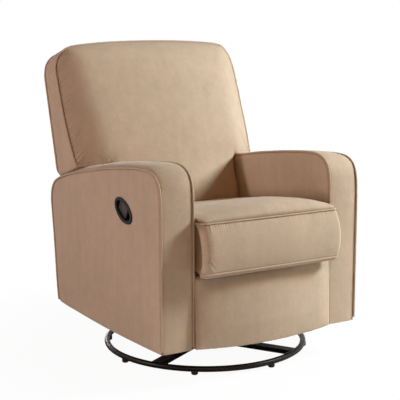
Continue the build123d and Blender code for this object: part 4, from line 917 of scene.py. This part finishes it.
def back_boxing(skin, loop_x, loop_s, front_u, rear_u, outward):
    """Boxing from the edge of the face to the edge of the rear."""
    around = lengths(np.column_stack([loop_x, loop_s]))
    w = eased(21, 0.55)[:, None]
    u = (1 - w) * front_u + w * rear_u
    gap = np.minimum(w, 1 - w) * (front_u - rear_u)
    at_arms = fall(loop_s - 140, 90) * (np.abs(loop_x) < 256)
    full = 4.0 * swell(w, 2.2) * (1 - at_arms) + at_arms
    slant = wave_noise((around + 1.1 * u) / 21.0, 73.0) * fall(gap - 30, 34)
    puff = full + 0.5 * puckers(gap, around + 0.55 * u, 15.0, 24.0, 71.0) - 1.8 * fall(gap, 3.2, 1.5)
    puff += (0.35 + 0.8 * fall(loop_s - 400, 150)) * slant
    x = (1 - w) * narrowed(loop_x, loop_s) + w * loop_x + outward[:, 0] * puff
    s = loop_s + outward[:, 1] * puff
    s = s - (0.4 + 0.6 * w) * wing_drop(loop_x, loop_s) - (1 - w) * front_drop(loop_x, loop_s)
    side_run = np.minimum(around, around[-1] - around)
    strength = 0.1 + 0.3 * share(np.abs(loop_x), 340, 360) * (loop_s > 250)
    # painted shade by both edges of the boxing
    skin.grid(in_back(x, s, u), painted_crease_shade(gap) * tucked(loop_s),
              (0.62 * (side_run - 0.9 * u), gap, strength * fall(gap, 60, 1)))


def back():
    """T-shaped back cushion with its welts and the outside panel behind it."""
    x, s = back_plan()
    dense = resample(np.column_stack([around_face(x), around_face(s)]), 1400)
    depth, along = distance_to(np.dstack([x, s]), dense)
    skin = Skin()
    u = back_face(skin, x, s, depth, np.minimum(along, lengths(dense)[-1] - along))

    loop_x, loop_s, front_u = (around_face(grid) for grid in (x, s, u))
    rear_u = table(REAR_LINE, loop_s)
    tangent = np.gradient(np.column_stack([loop_x, loop_s]), axis=0)
    tangent /= np.maximum(np.linalg.norm(tangent, axis=1, keepdims=True), 1e-6)
    outward = np.column_stack([-tangent[:, 1], tangent[:, 0]])
    back_boxing(skin, loop_x, loop_s, front_u, rear_u, outward)

    flat_u = table(REAR_LINE, s)
    ripple = 0.5 * wave_noise(s / 60 + wave_noise(x / 80, 7), 81) * (1 - fall(depth, 30, 1))
    full_u = flat_u - 2.4 * (1 - fall(depth, 22, 1.3)) + ripple
    full_u[:, [0, -1]] = flat_u[:, [0, -1]]
    # painted shade on the outside panel by its edges
    skin.grid(in_back(x, s - wing_drop(x, s), full_u), painted_crease_shade(depth))
    w = eased(21, 0.55)[:, None]
    skin.grid(in_back(x[0], s[0], (1 - w) * u[0] + w * flat_u[0]))
    dress(skin.build("back_upholstery", weld=1.0), "back", 0.8, "back_cushion", "outside_back")

    welted = (loop_s > 256) & (np.abs(loop_x) > 20) | (loop_s > 500)
    for label, level, across in (("front", front_u, narrowed(loop_x, loop_s)), ("rear", rear_u, loop_x)):
        line = in_back(across + outward[:, 0] * 1.2, loop_s + outward[:, 1] * 1.2, level)
        piping(f"back_{label}_welt", line[welted], PIPING, 4.5, "back")


# -------- footrest
PAD_HALF, PAD_LOW, PAD_TOP = 257.0, 114.0, 335.0
PAD_SAG = 9.0
PAD_REAR, PAD_FACE = -340.0, -399.0
PAD_ROUND = 8.0  # radius of the face's edges
PAD_SIDE = 4.5  # how far the sides go in behind the face
HEM = 22.0  # width of the hem turned in on the rear


def footrest_face(low, high, sides):
    """Crowned face of the footrest with rounded edges."""
    plan = coons(low, high, sides * (-1, 1), sides)
    x, z = plan[:, :, 0], plan[:, :, 1]
    edges = np.vstack([low, sides, high[::-1], (sides * (-1, 1))[::-1]])
    depth, along = distance_to(plan, resample(edges, 1200))
    level = (z - PAD_LOW) / (PAD_TOP - PAD_LOW)
    crown = 27.0 * np.interp(level, [0, 0.3, 0.8, 1], [0.72, 1, 0.85, 0.45])
    crown *= 1 - np.abs(x / PAD_HALF) ** 2.2
    ripple = 0.8 * wave_noise(x / 110 + 0.5 * wave_noise(z / 90, 2), 93) * (1 - fall(depth, 45, 1))
    rounded = PAD_ROUND * (1 - np.sqrt(1 - share(depth, PAD_ROUND, 0) ** 2))
    y = PAD_FACE + 9.0 * level - 4.0 * (1 - fall(depth, 30, 1.4)) - crown + rounded - ripple
    y -= 0.35 * puckers(depth, along, 19.0, 14.0, 91.0)
    return np.dstack([x, y, z])


def footrest():
    """Padded panel wrapped round its board."""
    across, up = eased(84, 0.5), eased(44, 0.5)
    x = 2 * PAD_HALF * across - PAD_HALF
    low = np.column_stack([x, PAD_LOW - PAD_SAG * (1 - (x / PAD_HALF) ** 2)])
    high = np.column_stack([x, np.full(len(x), PAD_TOP)])
    side = np.column_stack([np.full(len(up), PAD_HALF), PAD_LOW + (PAD_TOP - PAD_LOW) * up])
    face = footrest_face(low, high, side)

    loop = np.vstack([face[0], face[1:, -1], face[-1, -2::-1], face[-2::-1, 0]])
    rear = loop * (1, 0, 1) + (0, PAD_REAR, 0)
    w = np.linspace(0, 1, 9)
    band = ruled(loop, rear, w)
    middle = (PAD_LOW + PAD_TOP) / 2
    at_side = np.abs(np.abs(loop[:, 0]) - PAD_HALF) < 1e-3
    out_x = np.where(at_side, np.sign(loop[:, 0]), 0)
    out_z = np.where(at_side, 0, np.sign(loop[:, 2] - middle))
    full = 0.9 * np.sin(pi * w)[:, None]
    band[:, :, 0] += out_x * (full - PAD_SIDE * np.minimum(w * 8, 1)[:, None])
    band[:, :, 2] += out_z * full

    hem = rear.copy()
    hem[:, 0] -= HEM * np.sign(hem[:, 0]) * share(np.abs(hem[:, 0]), 200, 252)
    hem[:, 2] = middle + (hem[:, 2] - middle) * (1 - HEM / 104)
    hem[:, 1] = PAD_REAR + 2.2
    turned = rear + (hem - rear) * 0.1
    turned[:, 1] = PAD_REAR + 1.6
    skin = Skin()
    skin.grid(face)
    skin.grid(band)
    # painted shade, deepening towards the hem turned in on the rear
    skin.grid(np.stack([rear, turned, (rear + hem) / 2 + (0, 1.2, 0), hem]), np.linspace(0, 0.6, 4)[:, None])
    dress(skin.build("footrest_upholstery", weld=0.8), "footrest", 0.9, "footrest_pad")


# -------- rear panel of the body
def rear_panel():
    """Fabric panel over the rear rail, between the arms."""
    low, high = corners("rear_cover")
    x = low[0] + (high[0] - low[0]) * eased(60, 0.5)
    z = low[2] + (high[2] - low[2]) * eased(34, 0.5)
    across, up = np.meshgrid(x, z)
    depth = np.minimum(np.minimum(across - low[0], high[0] - across), np.minimum(up - low[2], high[2] - up))
    ripple = 0.8 * wave_noise(across / 90 + wave_noise(up / 70, 4), 101) * (1 - fall(depth, 30, 1))
    rear = np.dstack([across, high[1] - 3.5 * fall(depth, 14, 1.3) + ripple, up])
    front = np.dstack([across, np.full_like(across, low[1]), up])
    skin = Skin()
    skin.grid(rear)
    skin.grid(front)
    for edge in ((0,), (-1,), (slice(None), 0), (slice(None), -1)):
        skin.grid(np.stack([rear[edge], front[edge]]))
    dress(skin.build("rear_panel_upholstery", weld=0.5), "carriage", 0.9, "rear_cover")
    top = np.column_stack([x, np.full(len(x), high[1] - 2.5), np.full(len(x), high[2] - 1.0)])
    piping("rear_panel_welt", top[1:-1], 2.6, 5.0, "carriage")


# -------- the chair
arm(1, with_cup=False)
arm(-1, with_cup=True)
seat_cushion()
back()
footrest()
rear_panel()


# -------- floor, light and camera
CHAIR_MIDDLE = Vector((0.0, -0.05, 0.5))
NEAR, FAR = 0.45, 1.15  # metres from the middle between which the floor fades to white
SHADOW = 0.05  # share of the floor's own shading that shows near the chair


def white_floor():
    """White floor that keeps the chair's shadow near it and fades into the white world."""
    mesh = bpy.data.meshes.new("floor")
    bm = bmesh.new()
    bmesh.ops.create_grid(bm, x_segments=8, y_segments=8, size=6)
    bm.to_mesh(mesh)
    bm.free()
    floor = bpy.data.objects.new("floor", mesh)
    bpy.context.scene.collection.objects.link(floor)
    material = bpy.data.materials.new("white_floor")
    m = Nodes(material)
    m.tree.nodes.clear()
    diffuse = m.add("ShaderNodeBsdfDiffuse", {"Color": (0.86, 0.86, 0.86, 1)}).outputs[0]
    glow = m.add("ShaderNodeEmission", {"Color": (1, 1, 1, 1), "Strength": 1.0}).outputs[0]
    place = m.add("ShaderNodeTexCoord").outputs["Object"]
    length = m.add("ShaderNodeVectorMath", {0: place}, operation="LENGTH").outputs["Value"]
    seen = m.add("ShaderNodeLightPath").outputs["Is Camera Ray"]
    factor = m.math("MULTIPLY", m.ramp(length, NEAR, FAR, 1 - SHADOW, 1.0), seen)
    shown = m.add("ShaderNodeMixShader", {0: factor, 1: diffuse, 2: glow}).outputs[0]
    m.add("ShaderNodeOutputMaterial", {"Surface": shown})
    mesh.materials.append(material)


def white_world():
    """World that looks white and lights the chair only a little."""
    world = bpy.data.worlds.new("studio")
    bpy.context.scene.world = world
    m = Nodes(world)
    m.tree.nodes.clear()
    soft = m.add("ShaderNodeBackground", {"Color": (1.0, 0.9, 0.8, 1), "Strength": 0.02}).outputs[0]
    white = m.add("ShaderNodeBackground", {"Color": (1, 1, 1, 1), "Strength": 1.0}).outputs[0]
    path = m.add("ShaderNodeLightPath").outputs
    seen = m.math("MAXIMUM", path["Is Camera Ray"], path["Is Glossy Ray"])
    seen = m.math("MAXIMUM", seen, path["Is Transmission Ray"])
    shown = m.add("ShaderNodeMixShader", {0: seen, 1: soft, 2: white}).outputs[0]
    m.add("ShaderNodeOutputWorld", {"Surface": shown})


def lamp(name, towards, distance, size, power, colour):
    """Area lamp at a distance along a direction, aimed at the middle of the chair."""
    light = bpy.data.lights.new(name, "AREA")
    light.shape = "DISK"
    light.size = size
    light.energy = power
    light.color = colour
    obj = bpy.data.objects.new(name, light)
    place = Vector(towards).normalized()
    obj.location = CHAIR_MIDDLE + place * distance
    obj.rotation_euler = place.to_track_quat("Z", "Y").to_euler()
    bpy.context.scene.collection.objects.link(obj)


white_floor()
white_world()
lamp("key", (0.76, -0.39, 0.485), 3.0, 0.8, 131, (0.88, 0.965, 1.0))
lamp("side_fill", (-1.0, 0.14, 0.3), 5.0, 0.6, 84, (1.0, 0.89, 0.92))
lamp("warm_fill", (-0.5, -0.7, 0.6), 5.0, 1.5, 36, (1.0, 0.5, 0.18))
lamp("rear_fill", (0.1, 1.0, 0.16), 5.0, 2.0, 70, (1.0, 0.95, 0.9))

camera_data = bpy.data.cameras.new("camera")
camera_data.lens = 96.40
camera_data.sensor_width = 36.0
camera = bpy.data.objects.new("camera", camera_data)
camera.location = (-1.89795, -3.07724, 1.12059)
camera.rotation_euler = Vector((0.51733, 0.83878, -0.16976)).to_track_quat("-Z", "Y").to_euler()
bpy.context.scene.collection.objects.link(camera)
bpy.context.scene.camera = camera
bpy.context.scene.view_settings.view_transform = "Standard"

bpy.context.view_layer.update()
